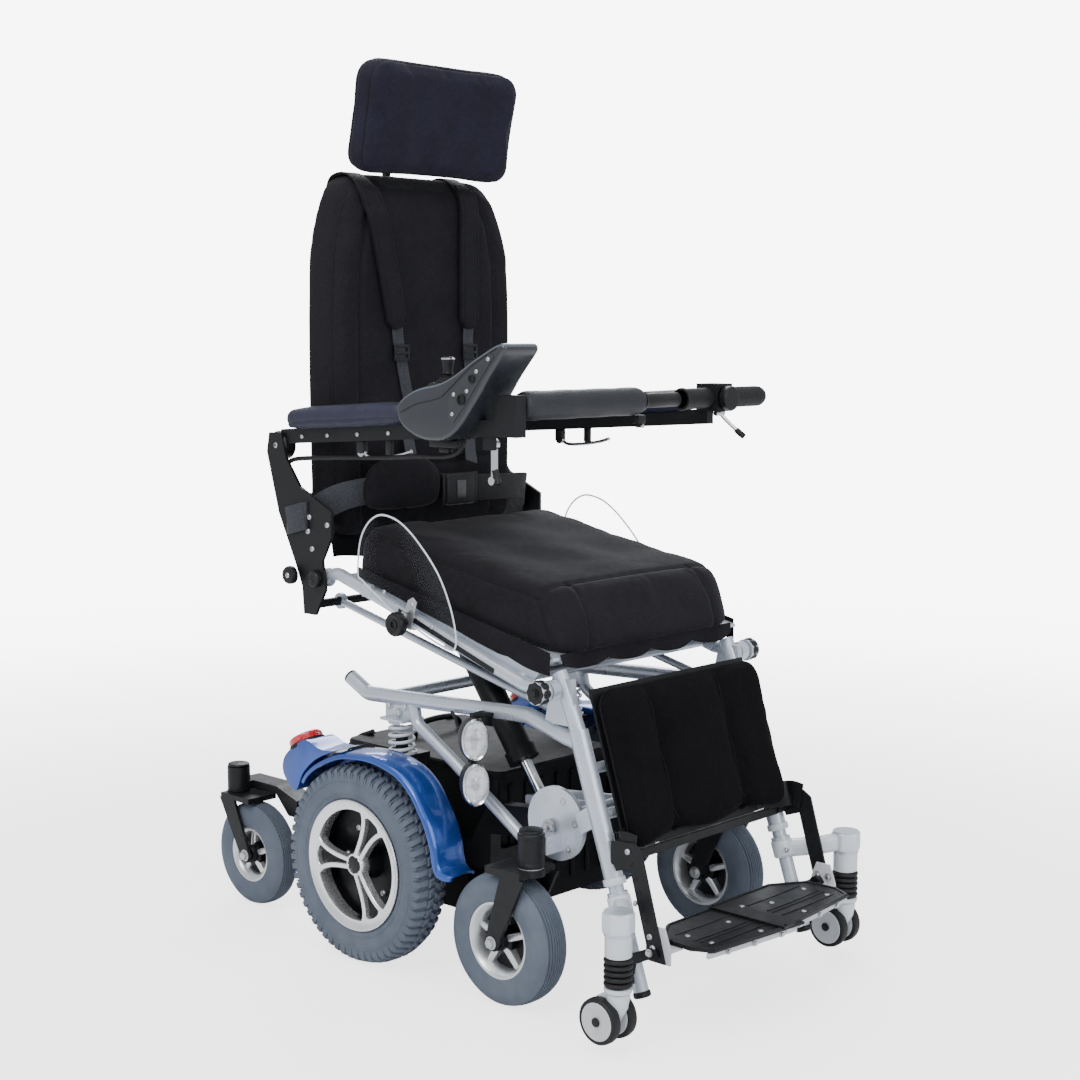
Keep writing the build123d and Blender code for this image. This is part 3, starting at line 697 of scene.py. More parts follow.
def knob(p, d, r=19.0, h=22.0, lobes=6):
    """A lobed hand knob."""
    a, u, w = frame_of(d)
    p = np.array(p, float)
    n = 60
    V, F = [], []
    prof = [(0, 0.45), (2, 0.55), (5, 0.97), (9, 1.0), (h - 4, 0.98), (h - 1, 0.88), (h, 0.6), (h - 1.2, 0.3)]
    for t, k in prof:
        for i in range(n):
            th = 2 * math.pi * i / n
            rr = r * k * (1 - 0.09 * (0.5 - 0.5 * math.cos(lobes * th)) * (k > 0.7))
            V.append(p + a * t + rr * (u * math.cos(th) + w * math.sin(th)))
    m = len(prof)
    for j in range(m - 1):
        for i in range(n):
            i2 = (i + 1) % n
            F.append((j * n + i, j * n + i2, (j + 1) * n + i2, (j + 1) * n + i))
    F.append(tuple(reversed(range(n))))
    F.append(tuple(range((m - 1) * n, m * n)))
    return np.array(V), F


def cad(mat, *nodes):
    for n in nodes:
        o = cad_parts[n]
        o.data.materials.clear()
        o.data.materials.append(mat)


# =============================================================== drive wheels
def tread_block(a0, a1, th, wid, r0, r1, skew, lean=0.0):
    """One lug: axial a0..a1, angle th, tangential width, from r0 to r1."""
    V = []
    for lev, (rr, ins) in enumerate(((r0, -0.6), (r1 - 1.3, 0.0), (r1, 1.1))):
        for aa, sg in ((a0 + ins, 0), (a1 - ins, 0)):
            for hw in (-1, 1):
                f = (aa - a0) / (a1 - a0)
                t = th + (hw * (wid / 2 - ins) + skew * (f - 0.5)) / 177.5
                drop = lean * (abs(aa) / 34.0) ** 3
                V.append((aa, (rr - drop) * math.cos(t), (rr - drop) * math.sin(t)))
    q = [(0, 1, 3, 2)]
    F = []
    for b in (0, 4):
        F += [(b + 0, b + 1, b + 5, b + 4), (b + 1, b + 3, b + 7, b + 5), (b + 3, b + 2, b + 6, b + 7), (b + 2, b + 0, b + 4, b + 6)]
    F += [(8, 9, 11, 10), (2, 3, 1, 0)]
    return np.array(V), F


def drive_tyre(x, s):
    c = np.array([x, 0, 177.5])
    half = [(0, 171.5), (10, 171.3), (19, 170.2), (26, 167), (31, 160.5), (33.6, 152), (34.4, 142), (34.2, 133), (32.6, 125), (30.8, 120.5),
            (30.4, 118.8), (29.2, 118.4), (28.6, 116.4), (24, 115.4)]
    prof = [(-a, r) for a, r in half[::-1]] + [(a, r) for a, r in half[1:]]
    inner = [(20, 113), (-20, 113)]
    body = lathe(prof + inner, c, (1, 0, 0), 160, closed=True)
    gs = [body]
    N = 58
    for k in range(N):
        th = 2 * math.pi * k / N
        h = math.pi / N
        for sg in (-1, 1):
            g = tread_block(15, 33.0, th + (h if sg > 0 else 0), 10.5, 158, 176.8, 3.5, 8.5)
            V = g[0].copy(); V[:, 0] *= sg
            gs.append((V + c, g[1]))
            g = tread_block(1.8, 12.6, th + h * (0.9 if sg > 0 else 1.9), 11.5, 168, 177.2, 6.0, 0.6)
            V = g[0].copy(); V[:, 0] *= sg
            gs.append((V + c, g[1]))
            g = tread_block(24.0, 32.6, th + h * (1.0 if sg < 0 else 2.0), 4.2, 150, 170.6, 1.0, 6.5)
            V = g[0].copy(); V[:, 0] *= sg
            gs.append((V + c, g[1]))
    # fine raised rings on the sidewall
    for sg in (-1, 1):
        for r, a in ((127, 33.4), (150, 34.1)):
            gs.append(lathe([(sg * (a - 0.6), r - 1.3), (sg * (a + 0.5), r - 0.6), (sg * (a + 0.5), r + 0.6), (sg * (a - 0.6), r + 1.3)], c, (1, 0, 0), 120, closed=True))
    return join(*gs)


def spoke_rib(pts, xo, depth, wid, s, c, ang):
    """A rib in the wheel plane: pts (u, v) turned by ang."""
    P = spline([(0, u * math.cos(ang) - v * math.sin(ang), u * math.sin(ang) + v * math.cos(ang)) for u, v in pts], 8)
    P = P + np.array(c) + np.array([xo, 0, 0])
    sec = [(-wid / 2, -depth), (wid / 2, -depth), (wid / 2, -1.2), (wid / 2 - 1.4, 0), (-wid / 2 + 1.4, 0), (-wid / 2, -1.2)]
    V, F = [], []
    T = np.gradient(P, axis=0)
    T /= np.linalg.norm(T, axis=1)[:, None]
    for p, t in zip(P, T):
        side = np.array([0, -t[2], t[1]])
        for a, b in sec:
            V.append(p + side * a + np.array([b, 0, 0]))
    m, n = len(sec), len(P)
    for i in range(n - 1):
        for a in range(m):
            b = (a + 1) % m
            F.append((i * m + a, i * m + b, (i + 1) * m + b, (i + 1) * m + a))
    F.append(tuple(reversed(range(m))))
    F.append(tuple(range((n - 1) * m, n * m)))
    return np.array(V), F


for side, s in LR:
    body = f"drive_wheel_{side}"
    put(f"drive_tyre_tread_{side}", drive_tyre(290 * s, s), TYRE, body, ang=50, rep=f"drive_tyre_{side}")
    # built for +x then mirrored: outer face at x = 322
    c = (0.0, 0.0, 177.5)
    lip = lathe([(322, 117.0), (324.0, 116.2), (324.4, 114.2), (323, 111.5), (320.5, 106.5), (319.4, 99.0), (315, 98.0), (300, 101.5), (262, 108), (258, 113), (259, 117), (262, 115.2), (300, 112), (316, 113)],
                c, (1, 0, 0), 128, closed=True)
    ribs, webs = [], []
    for k in range(3):
        ang = math.pi + math.radians(120 * k) + math.pi
        # directions in (y, z): rearward, then 120 degrees apart
        for sg in (-1, 1):
            ribs.append(spoke_rib([(14, sg * 6.5), (34, sg * 8.0), (56, sg * 11.0), (76, sg * 16.5), (91, sg * 25), (104.5, sg * 41)], 319.5, 15, 8.6, s, c, ang))
            ribs.append(spoke_rib([(90, sg * 24), (99, sg * 16), (103.5, 0)], 319.0, 13, 8.0, s, c, ang))
        web = [(14, -6), (34, -8), (56, -11), (76, -16.5), (92, -26), (102, -20), (105, 0), (102, 20), (92, 26), (76, 16.5), (56, 11), (34, 8), (14, 6)]
        V2 = [(u * math.cos(ang) - v * math.sin(ang), 177.5 + u * math.sin(ang) + v * math.cos(ang)) for u, v in web]
        webs.append(prism(V2, 301, 309.0))
    hubring = lathe([(304, 12), (304, 22), (316, 21), (319.2, 19), (319.2, 16.5), (314, 15.5)], c, (1, 0, 0), 48, closed=True)
    put(f"drive_rim_face_{side}", sided(join(lip, *ribs, hubring), s), RIMS, body, ang=35, rep=f"drive_rim_{side}")
    back = lathe([(272, 24), (272, 104), (277, 106), (277, 24)], c, (1, 0, 0), 64, closed=True)
    barrel = lathe([(296, 106.5), (264, 107.5), (262, 104.5), (296, 103)], c, (1, 0, 0), 96, closed=True)
    cap = lathe([(300, 0), (300, 16), (313, 16.2), (317.4, 14.6), (318.6, 11), (318.9, 0)], c, (1, 0, 0), 40)
    nuts = [capscrew((277, 62 * math.cos(a), 177.5 + 62 * math.sin(a)), (1, 0, 0), 6, 5) for a in np.radians(60 + 60 * np.arange(6))]
    hub = lathe([(262, 12), (262, 34), (292, 30), (304, 26), (304, 12)], c, (1, 0, 0), 48, closed=True)
    # The back disc behind the spoke windows and the webs in the rib slots are near-black: painted shade for the dark
    # inside of the wheel.
    put(f"drive_rim_inner_{side}", sided(join(back, barrel, hub), s), RIMD, body, ang=35)
    put(f"drive_rim_webs_{side}", sided(join(*webs), s), RIMD, body, bevel=1.5)
    put(f"drive_hub_cap_{side}", sided(cap, s), PLAST, body)
    put(f"drive_wheel_nuts_{side}", sided(join(*nuts), s), STEEL, body)
    valve = cyl((300, 0, 177.5 - 101), (312, 0, 177.5 - 94), 3, 0.6, 12)
    put(f"drive_valve_{side}", sided(valve, s), RUBB, body)


# =============================================================== castors
def castor_tyre(x, y, z, R, ri, W):
    h = W / 2
    prof = []
    n = 9
    ridges = np.linspace(-h * 0.62, h * 0.62, n)
    crown = lambda a: R - 0.3 - 0.10 * R * (abs(a) / h) ** 2.6
    pts = [(-h * 0.72, ri), (-h * 0.9, ri + 2.5), (-h, ri + (R - ri) * 0.42), (-h * 0.985, ri + (R - ri) * 0.62), (-h * 0.86, crown(h * 0.86) - 2)]
    for i, a in enumerate(ridges):
        w = h * 0.62 * 2 / (n - 1) * 0.30
        pts += [(a - w, crown(a)), (a + w, crown(a))]
        if i < n - 1:
            g = a + h * 0.62 / (n - 1)
            pts += [(g - w * 0.35, crown(g) - 2.8), (g + w * 0.35, crown(g) - 2.8)]
    pts += [(h * 0.86, crown(h * 0.86) - 2), (h * 0.985, ri + (R - ri) * 0.62), (h, ri + (R - ri) * 0.42), (h * 0.9, ri + 2.5), (h * 0.72, ri)]
    return lathe(pts, (x, y, z), (1, 0, 0), 112, closed=True)


def castor_rim(x, y, z, ri, W):
    h = W / 2
    ring = [(-h * 0.80, ri + 0.2), (-h * 0.86, ri + 1.5), (-h * 0.84, ri - 2.5), (-h * 0.62, ri - 9), (-h * 0.2, ri - 12), (h * 0.2, ri - 12), (h * 0.62, ri - 9), (h * 0.84, ri - 2.5), (h * 0.86, ri + 1.5), (h * 0.80, ri + 0.2)]
    gs = [lathe(ring, (x, y, z), (1, 0, 0), 96, closed=True)]
    for k in range(5):
        a = 2 * math.pi * k / 5 + 0.3
        P = [(x, y + r * math.cos(a), z + r * math.sin(a)) for r in np.linspace(12, ri - 8, 7)]
        gs.append(sweep(P, rrect(h * 1.0, 11, 3), fixed=(1, 0, 0), scale=np.linspace(1.25, 0.95, 7)))
    return join(*gs)


for side, s in LR:
    for nm, X, Y, R, ri, W in (("front", 270, -331, 112.5, 63, 66), ("rear", 217, 398, 100, 52, 50)):
        b = f"{nm}_wheel_{side}"
        put(f"{nm}_castor_tread_{side}", castor_tyre(X * s, Y, R, R, ri, W), TYRE, b, ang=24, rep=f"{nm}_tyre_{side}")
        put(f"{nm}_castor_rim_{side}", castor_rim(X * s, Y, R, ri, W), CASTRIM, b, ang=35, rep=f"{nm}_rim_{side}")
        hub = lathe([(-W / 2 + 0.6, 6.2), (-W / 2 + 0.6, 15), (-W / 2 + 4, 17), (-W * 0.3, 17.5), (-W * 0.26, 24), (W * 0.26, 24), (W * 0.3, 17.5), (W / 2 - 4, 17), (W / 2 - 0.6, 15), (W / 2 - 0.6, 6.2)], (X * s, Y, R), (1, 0, 0), 40, closed=True)
        disc = lathe([(-3, 22), (-3, ri - 11), (3, ri - 11), (3, 22)], (X * s, Y, R), (1, 0, 0), 64, closed=True)
        put(f"{nm}_castor_hub_{side}", join(hub, disc), RIMD, b, ang=35)
        hw = W / 2 + 3 + (7 if nm == "front" else 6)
        bolts = join(hexbolt((X * s + hw - 0.5, Y, R), (1, 0, 0), 8.5, 5), hexbolt((X * s - hw + 0.5, Y, R), (-1, 0, 0), 8.5, 5))
        put(f"{nm}_castor_axle_nuts_{side}", bolts, STEEL, f"{nm}_castor_{side}", ang=30)
    # stem cap over each housing
    put(f"front_stem_sleeve_{side}", lathe([(243.4, 20.4), (243.4, 22.0), (244.6, 22.8), (250, 22.8), (251, 22.2), (291, 22.2), (292, 22.8), (297.6, 22.8), (299.2, 21.6), (299.2, 20.4)], (270 * s, -381, 0), (0, 0, 1), 48, closed=True), BLACKM, "upper_frame", ang=30)
    put(f"front_stem_cap_{side}", cyl((270 * s, -381, 299.2), (270 * s, -381, 306), 20.5, 3.5, 32), PLAST, "upper_frame")
    put(f"rear_stem_cap_{side}", cyl((217 * s, 456, 262.2), (217 * s, 456, 268), 21, 3, 32), PLAST, "chassis")
    put(f"front_castor_washer_{side}", cyl((270 * s, -381, 241.2), (270 * s, -381, 242.8), 22, 0.4, 32), STEEL, "upper_frame")

cad(BLACKM, *[f"{n}_fork_{sd}" for n in ("front", "rear") for sd, _ in LR])

# =============================================================== chassis
cad(BLACKM, "chassis_frame", "drive_motors")
cad(BATT, "battery_box", "batteries")
lidz = 345
lid = sweep([(x, y, 338) for x, y in rrect(300, 400, 20, 5)], [(-2, -4), (3, -4), (3.5, -2), (3.5, 4.2), (2.5, 5.4), (-2, 5.4)], closed=True)
lid = mv(lid, (0, 10, 0))
put("battery_lid_rim", lid, BATT, "chassis", ang=30)
put("battery_lid_handle", tube([(-60, 120, 346), (-55, 120, 362), (-30, 120, 372), (30, 120, 372), (55, 120, 362), (60, 120, 346)], 6, 12), PLAST, "chassis")
ribs = [box(-120 + 40 * i - 5, -120 + 40 * i + 5, -194.5, -189.8, 120, 320) for i in range(7)] + [box(-120 + 40 * i - 5, -120 + 40 * i + 5, 209.8, 214.5, 120, 320) for i in range(7)]
put("battery_box_ribs", join(*ribs), BATT, "chassis", bevel=1.5)
for side, s in LR:
    fins = [lathe([(110 + 13 * i, 33.4), (110 + 13 * i, 36.5), (114 + 13 * i, 36.5), (114 + 13 * i, 33.4)], (215 * s, 0, 178), (0, 1, 0), 40, closed=True) for i in range(6)]
    put(f"motor_fins_{side}", join(*fins), BLACKM, "chassis", ang=30)
    put(f"motor_cable_{side}", tube([(215 * s, 238, 184), (205 * s, 262, 205), (170 * s, 262, 250), (120 * s, 225, 330), (100 * s, 190, 352)], 5.5, 12), RUBB, "chassis")

FO = [(140, 306), (128, 322), (108, 338), (85, 351), (56, 364), (25, 373), (-20, 378), (-52, 377.5), (-81, 373), (-112, 364), (-136, 350.5), (-157, 332), (-171, 313), (-186, 291), (-197, 268), (-205, 245), (-209, 224), (-214, 211), (-222, 204), (-232, 201)]


def fender(s):
    P = spline([(0, y, z) for y, z in FO], 5)
    T = np.gradient(P, axis=0); T /= np.linalg.norm(T, axis=1)[:, None]
    N = np.stack([0 * T[:, 0], -T[:, 2], T[:, 1]], 1)
    N *= np.sign(N[10] @ (P[10] - np.array([0, 0, 177.5]))) 
    m = len(P)
    t = np.linspace(0, 1, m)
    xin = 251.0 + 0 * t
    xout = 322 - 16 * np.clip((t - 0.9) / 0.1, 0, 1) ** 2
    V, F = [], []
    sec_n = 0
    for i in range(m):
        a, b = xin[i], xout[i]
        d = -22 + 16 * np.clip((t[i] - 0.74) / 0.12, 0, 1)
        sec = [(a, d), (a, -2), (a + 2.5, -0.3), (a + 8, 1.6), ((a + b) / 2, 3.4), (b - 8, 1.6), (b - 2, -0.8), (b, -3.5), (b, -9), (b - 3, -9), (b - 3, -4.4), (b - 9, -2.2), ((a + b) / 2, -0.6), (a + 8, -2.4), (a + 3, -5), (a + 3, d)]
        sec_n = len(sec)
        for x, h in sec:
            q = P[i] + N[i] * h
            V.append((x, q[1], q[2]))
    for i in range(m - 1):
        for k in range(sec_n):
            k2 = (k + 1) % sec_n
            F.append((i * sec_n + k, i * sec_n + k2, (i + 1) * sec_n + k2, (i + 1) * sec_n + k))
    F.append(tuple(reversed(range(sec_n)))); F.append(tuple(range((m - 1) * sec_n, m * sec_n)))
    return sided((np.array(V), F), s)


for i, (side, s) in enumerate(LR):
    o = put(f"fender_shell_{side}", fender(s), BLUE, "chassis", ang=40, rep="fenders")
    lp = spline([(0, 30, 380), (0, 62, 372), (0, 92, 372), (0, 126, 382), (0, 152, 371), (0, 181, 349), (0, 192, 330), (0, 190, 310), (0, 172, 290), (0, 154, 286), (0, 137, 318), (0, 112, 342), (0, 88, 357), (0, 58, 370)], 4, True)
    o = put(f"lamp_housing_{side}", sided(prism([(y, z) for _, y, z in lp], 256, 320), s), BLUE, "chassis", bevel=7, seg=4, ang=45, rep="lamp_housings")
    n = np.array([0, .519, .855]); c0 = np.array([288.0 * s, 158, 363.5])
    put(f"tail_lens_{side}", lathe([(0, 0), (0, 29), (1, 31)] + [(2.5 + 1.6 * k_, 31.6 - (k_ % 2) * 1.0) for k_ in range(8)] + [(15.6, 30.4), (18, 27), (19, 16), (19.4, 0)], c0 + n * 0.5, n, 48), RED, "chassis", rep="tail_lamps" if i == 0 else ())
    put(f"tail_lens_ring_{side}", lathe([(-1, 30), (-1, 33.5), (4.5, 33.5), (4.5, 31.6)], c0 + n * 0.5, n, 48, closed=True), RUBB, "chassis")
    # spring seat cup
    put(f"spring_cup_{side}", lathe([(0, 12), (0, 27), (4, 27), (4, 24.5), (1.6, 24.5), (1.6, 12)], (222 * s, -21, 366.2), (0, 0, 1), 40, closed=True), CLAMP, "chassis")
    th = np.linspace(0, 2 * math.pi * 4.6, 190)
    zz = 371.5 + (422.8 - 371.5) * np.clip((th - 2.2) / (th[-1] - 4.4), 0, 1)
    P = np.stack([222 * s + 21.5 * np.cos(th), -21 + 21.5 * np.sin(th), zz], 1)
    sp = put(f"suspension_coil_{side}", sweep(P, circ(3.2, 10), up=(0, 0, 1)), CLAMP, "upper_frame", rep="suspension_springs" if i == 0 else ())
    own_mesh(sp)
    put(f"spring_guide_{side}", cyl((222 * s, -21, 367), (222 * s, -21, 398), 11, 1.5, 24), PLAST, "chassis")

# =============================================================== upper frame
cad(SILVER, "upper_frame_weldment", "leg_tubes")
for side, s in LR:
    put(f"disc_holes_{side}", join(*[lathe([(0, 3.4), (0, 6.4), (1.4, 6.0), (1.4, 3.4)], (217 * s, y, z), (s, 0, 0), 20, closed=True) for y, z in ((-430, 312), (-416, 268), (-402, 345))]), STEEL, "upper_frame")
    bolts = [hexbolt((223.2 * s, -377, 298), (s, 0, 0), 10, 6), hexbolt((228.2 * s, -22, 440), (s, 0, 0), 6, 4), hexbolt((228.2 * s, 3, 450), (s, 0, 0), 6, 4), hexbolt((228.2 * s, -38, 452), (s, 0, 0), 6, 4)]
    bolts += [capscrew((225 * s + s * 2, -470 - 3, 345), (s, 0, 0), 5, 3)]
    put(f"frame_bolts_{side}", join(*bolts), STEEL, "upper_frame", ang=30)
    put(f"rail_end_plug_{side}", cyl((222 * s, 111, 483.6), (222 * s, 116.5, 486.4), 13.6, 2, 24), PLAST, "upper_frame")
    put(f"leg_end_cap_{side}", cyl((222 * s, -576.5, 69.5), (222 * s, -580, 59.5), 14.5, 3, 24), RUBB, "upper_frame")
    put(f"leg_sleeve_collar_{side}", lathe([(0, 12.8), (0, 18.2), (2, 18.8), (9, 18.8), (11, 18.2), (11, 12.8)], (222 * s, -517.6, 242), (0, -3.4, -10), 32, closed=True), CLAMP, "upper_frame", ang=30)
    kk = knob((288 * s, *KNEE), (s, 0, 0), 20, 5, 8)
    put(f"knee_knob_{side}", knob((266.5 * s, *KNEE), (s, 0, 0), 21, 23, 8), PLAST, "upper_frame", ang=30)
    # bellows and hex clamp of the stabiliser
    pr = [(108, 13)]
    for k in range(5):
        z0 = 108.5 + k * 9.4
        pr += [(z0, 17.5), (z0 + 2.2, 22.3), (z0 + 4.7, 23.2), (z0 + 7.2, 22.3), (z0 + 9.2, 17.5)]
    pr += [(155.6, 13)]
    bl = put(f"bellows_{side}", lathe([(z - 108, r) for z, r in pr], (311 * s, -604, 108), (0, 0, 1), 48, closed=True), RUBB, "upper_frame", ang=50, rep=f"stabilizer_bellows_{side}")
    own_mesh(bl)
    hx = prism([(311 * s + 27 * math.cos(a), -604 + 27 * math.sin(a)) for a in np.radians(15 + 60 * np.arange(6))], 193, 227, "XY")
    arm = sweep([(311 * s, -604, 210), (270 * s, -578, 205), (224 * s, -534, 200)], rrect(26, 30, 8), up=(0, 0, 1))
    hub = cyl((222 * s, -526.5, 215), (222 * s, -536.5, 186), 19, 2.5, 32)
    put(f"stabilizer_clamp_{side}", join(arm, hub), CLAMP, "upper_frame", bevel=2, ang=40)
    put(f"stabilizer_hex_{side}", hx, CLAMP, "upper_frame", bevel=4, seg=3)
    put(f"stabilizer_barrel_{side}", lathe([(156, 8.5), (156, 20.6), (158, 21.5), (190, 21.5), (194, 22.5), (194, 8.5)], (311 * s, -604, 0), (0, 0, 1), 48, closed=True), CLAMP, "upper_frame", ang=30)
    put(f"clamp_screws_{side}", join(capscrew((222 * s - 15, -549, 203), (0, -1, 0.2), 4.5, 4), capscrew((222 * s + 15, -549, 203), (0, -1, 0.2), 4.5, 4)), STEEL, "upper_frame")
    # twin stabiliser wheels
    gt, gd = [], []
    for q in (-1, 1):
        cc = (311 * s + q * 19.5, -584, 53)
        gt.append(lathe([(-8.6, 30), (-9, 34), (-7, 36.6), (-3, 37.4), (3, 37.4), (7, 36.6), (9, 34), (8.6, 30)], cc, (1, 0, 0), 64, closed=True))
        gd.append(lathe([(-8.2, 4.3), (-8.4, 20), (-9.4, 29), (-8.2, 31), (8.2, 31), (9.4, 29), (8.4, 20), (8.2, 4.3)], cc, (1, 0, 0), 64, closed=True))
    put(f"stabilizer_tyres_{side}", join(*gt), RUBB, f"stabilizer_wheels_{side}", ang=30, rep=f"stabilizer_wheels_{side}")
    put(f"stabilizer_discs_{side}", join(*gd), GREY, f"stabilizer_wheels_{side}", ang=25)
    put(f"stabilizer_caps_{side}", join(*[cyl((311 * s + q * 28, -584, 53), (311 * s + q * 31.5, -584, 53), 7.5, 1.5, 24) for q in (-1, 1)]), PLAST, f"stabilizer_swivel_{side}")
    bodyc = lathe([(62, 0), (62, 10), (72, 15), (88, 18.5), (99.4, 19.2), (99.4, 0)], (311 * s, -604, 0), (0, 0, 1), 40)
    horn = prism([(-622, 99), (-587, 99), (-566, 86), (-562, 66), (-570, 48), (-590, 42), (-604, 50), (-618, 74)], 311 * s - 9.6, 311 * s + 9.6)
    put(f"stabilizer_body_{side}", join(bodyc, horn), CLAMP, f"stabilizer_swivel_{side}", bevel=2.5, seg=3, rep=f"stabilizer_fork_{side}", ang=40)
    put(f"stabilizer_stem_cup_{side}", lathe([(100, 5.3), (100, 21.5), (103, 22.5), (106.4, 22.5), (106.4, 5.3)], (311 * s, -604, 0), (0, 0, 1), 40, closed=True), CLAMP, f"stabilizer_stem_{side}", ang=30)
cad(CLAMP, *[f"stabilizer_stem_{sd}" for sd, _ in LR])

# headlamps: oval bucket, chrome bezel, reflector bowl and clear lens on a black hanger
first = True
for side, s in LR:
    gb, gz, gr, gl = [], [], [], []
    for y, z, tilt in ((-250, 437, 6), (-257, 363, 0)):
        c = np.array([275.0, y, z])
        def oval(k, dy, n=40):
            out = []
            for i in range(n):
                a = 2 * math.pi * i / n
                out.append((c[0] + 21.0 * k * math.cos(a) * (1 + 0.05 * abs(math.sin(a))), c[1] + dy, c[2] + 33.5 * k * math.sin(a)))
            return out
        def loft(rings, close=True):
            n = len(rings[0])
            V = [p for r in rings for p in r]
            F = [(j * n + i, j * n + (i + 1) % n, (j + 1) * n + (i + 1) % n, (j + 1) * n + i) for j in range(len(rings) - 1) for i in range(n)]
            if close:
                F += [tuple(reversed(range(n))), tuple(range((len(rings) - 1) * n, len(rings) * n))]
            return np.array(V), F
        gb.append(loft([oval(0.4, 24), oval(0.8, 20), oval(1.0, 10), oval(1.09, -3), oval(1.10, -16), oval(1.02, -17), oval(0.96, -6), oval(0.5, 4)]))
        gz.append(loft([oval(0.99, -14), oval(1.07, -17), oval(1.08, -21), oval(1.0, -24.5), oval(0.91, -22), oval(0.9, -13)], False))
        gr.append(loft([oval(0.90, -14), oval(0.8, -8), oval(0.6, -2), oval(0.3, 1)]))
        gr.append(loft([oval(0.34, -14), oval(0.38, -13), oval(0.38, -6), oval(0.2, -2)]))
        for k_ in (0.56, 0.74):
            gr.append(loft([oval(k_ - 0.03, -9.0), oval(k_, -11.5), oval(k_ + 0.03, -9.0)], False))
        gl.append(loft([oval(0.93, -18.5), oval(0.90, -22), oval(0.75, -25.5), oval(0.5, -27.5), oval(0.2, -28.3)]))
    gb, gz, gr, gl = ([rot(g_, (275, -250, 0), (0, 0, 1), 30) for g_ in q_] for q_ in (gb, gz, gr, gl))
    put(f"headlamp_buckets_{side}", sided(join(*gb), s), PLAST, "upper_frame", ang=40, rep="headlamps" if first else ())
    put(f"headlamp_bezels_{side}", sided(join(*gz), s), CHROME, "upper_frame", ang=40)
    put(f"headlamp_reflectors_{side}", sided(join(*gr), s), REFL, "upper_frame", ang=40)
    put(f"headlamp_glass_{side}", sided(join(*gl), s), LENS, "upper_frame", ang=60, rep="headlamp_lenses" if first else ())
    hang = join(prism([(-262, 476), (-236, 476), (-236, 462), (-228, 330), (-236, 322), (-246, 322), (-246, 462)], 262, 267), box(236, 266, -262, -236, 470, 475), box(236, 240, -262, -236, 452, 475))
    put(f"headlamp_hanger_{side}", sided(hang, s), BLACKM, "upper_frame", bevel=1)
    put(f"headlamp_cable_{side}", sided(tube([(264, -232, 437), (262, -205, 446), (250, -185, 458), (238, -165, 462)], 3, 10), s), RUBB, "upper_frame")
    first = False

# =============================================================== soft pads
def inset(P, e):
    P = np.asarray(P, float)
    d = np.roll(P, -1, 0) - np.roll(P, 1, 0)
    d /= np.linalg.norm(d, axis=1)[:, None]
    n = np.stack([-d[:, 1], d[:, 0]], 1)          # inward for a counter-clockwise outline
    return P + n * e


def layered(layers, fr):
    """layers: list of (outline Nx2, h). fr(a, b, h) gives the point. Closed at both ends."""
    n = len(layers[0][0])
    V, F = [], []
    for P, h in layers:
        hh = np.broadcast_to(h, (n,))
        V += [fr(a, b, q) for (a, b), q in zip(P, hh)]
    for j in range(len(layers) - 1):
        F += [(j * n + i, j * n + (i + 1) % n, (j + 1) * n + (i + 1) % n, (j + 1) * n + i) for i in range(n)]
    F += [tuple(reversed(range(n))), tuple(range((len(layers) - 1) * n, len(layers) * n))]
    return np.array(V, float), F


def corner_rect(x0, x1, y0, y1, r00, r10, r11, r01, k=8):
    """Counter-clockwise rounded rectangle; radii at (x0,y0), (x1,y0), (x1,y1), (x0,y1)."""
    out = []
    for (px, py, r, a0) in ((x0 + r00, y0 + r00, r00, 180), (x1 - r10, y0 + r10, r10, 270), (x1 - r11, y1 - r11, r11, 0), (x0 + r01, y1 - r01, r01, 90)):
        for i in range(k + 1):
            a = math.radians(a0 + 90 * i / k)
            out.append((px + r * math.cos(a), py + r * math.sin(a)))
    return np.array(out)


def smooth(x, a, b):
    t = np.clip((x - a) / (b - a), 0, 1)
    return t * t * (3 - 2 * t)


# ---- seat cushion
SD, SN = np.array([.984, .178]), np.array([-.178, .984])


def seat_pt(x, t, h):
    q = np.array([-400, 681.0]) + SD * t + SN * h
    return np.array([x, q[0], q[1]])


lay = []
for e, h, f in ((14, -94, -32), (3, -90, -38), (-1, -79, -38), (-1, -34, -14), (1, -17, -4), (8, -5.5, 1), (22, -0.5, 3), (60, 2, 4), (120, 4, 4)):
    lay.append((inset(corner_rect(-242, 242, f, 480, 66, 66, 26, 26), e), h))
cush = put("seat_cushion_foam", layered(lay, seat_pt), KNIT)
soften(cush, 8.0, 7.0)
P = coords(cush)
x = P[:, 0] / S
tt = (P[:, 1] / S + 400) * SD[0] + (P[:, 2] / S - 681) * SD[1]
hh = (P[:, 1] / S + 400) * SN[0] + (P[:, 2] / S - 681) * SN[1]
top = smooth(hh, -20, 0)
dish = -7 * np.exp(-((np.abs(x) - 95) / 62) ** 2) * smooth(tt, 60, 170) * (1 - smooth(tt, 380, 460)) + 2.5 * np.sin(x / 31 + tt / 47) * np.sin(tt / 39) * smooth(tt, 40, 120) * 0.5
front = smooth(-tt, -18, 12) * np.exp(-((hh + 50) / 34) ** 2) * 2.5 * np.cos(np.clip(x / 160, -1.4, 1.4) * math.pi) ** 2
dz = top * dish
P[:, 1] += (SN[0] * dz - front * SD[0]) * S
P[:, 2] += (SN[1] * dz - front * SD[1]) * S
setco(cush, P)
ln = lambda pts: [seat_pt(*p) for p in pts]
seam(cush, ln([(-245, -16, -86), (-245, 10, -52), (-243, 26, -22), (-234, 36, -4), (-205, 42, 4), (-100, 45, 4), (0, 46, 4), (100, 45, 4), (205, 42, 4), (234, 36, -4), (243, 26, -22), (245, 10, -52), (245, -16, -86)]), "seat_cushion_front_seam", "seat", 3, 6)
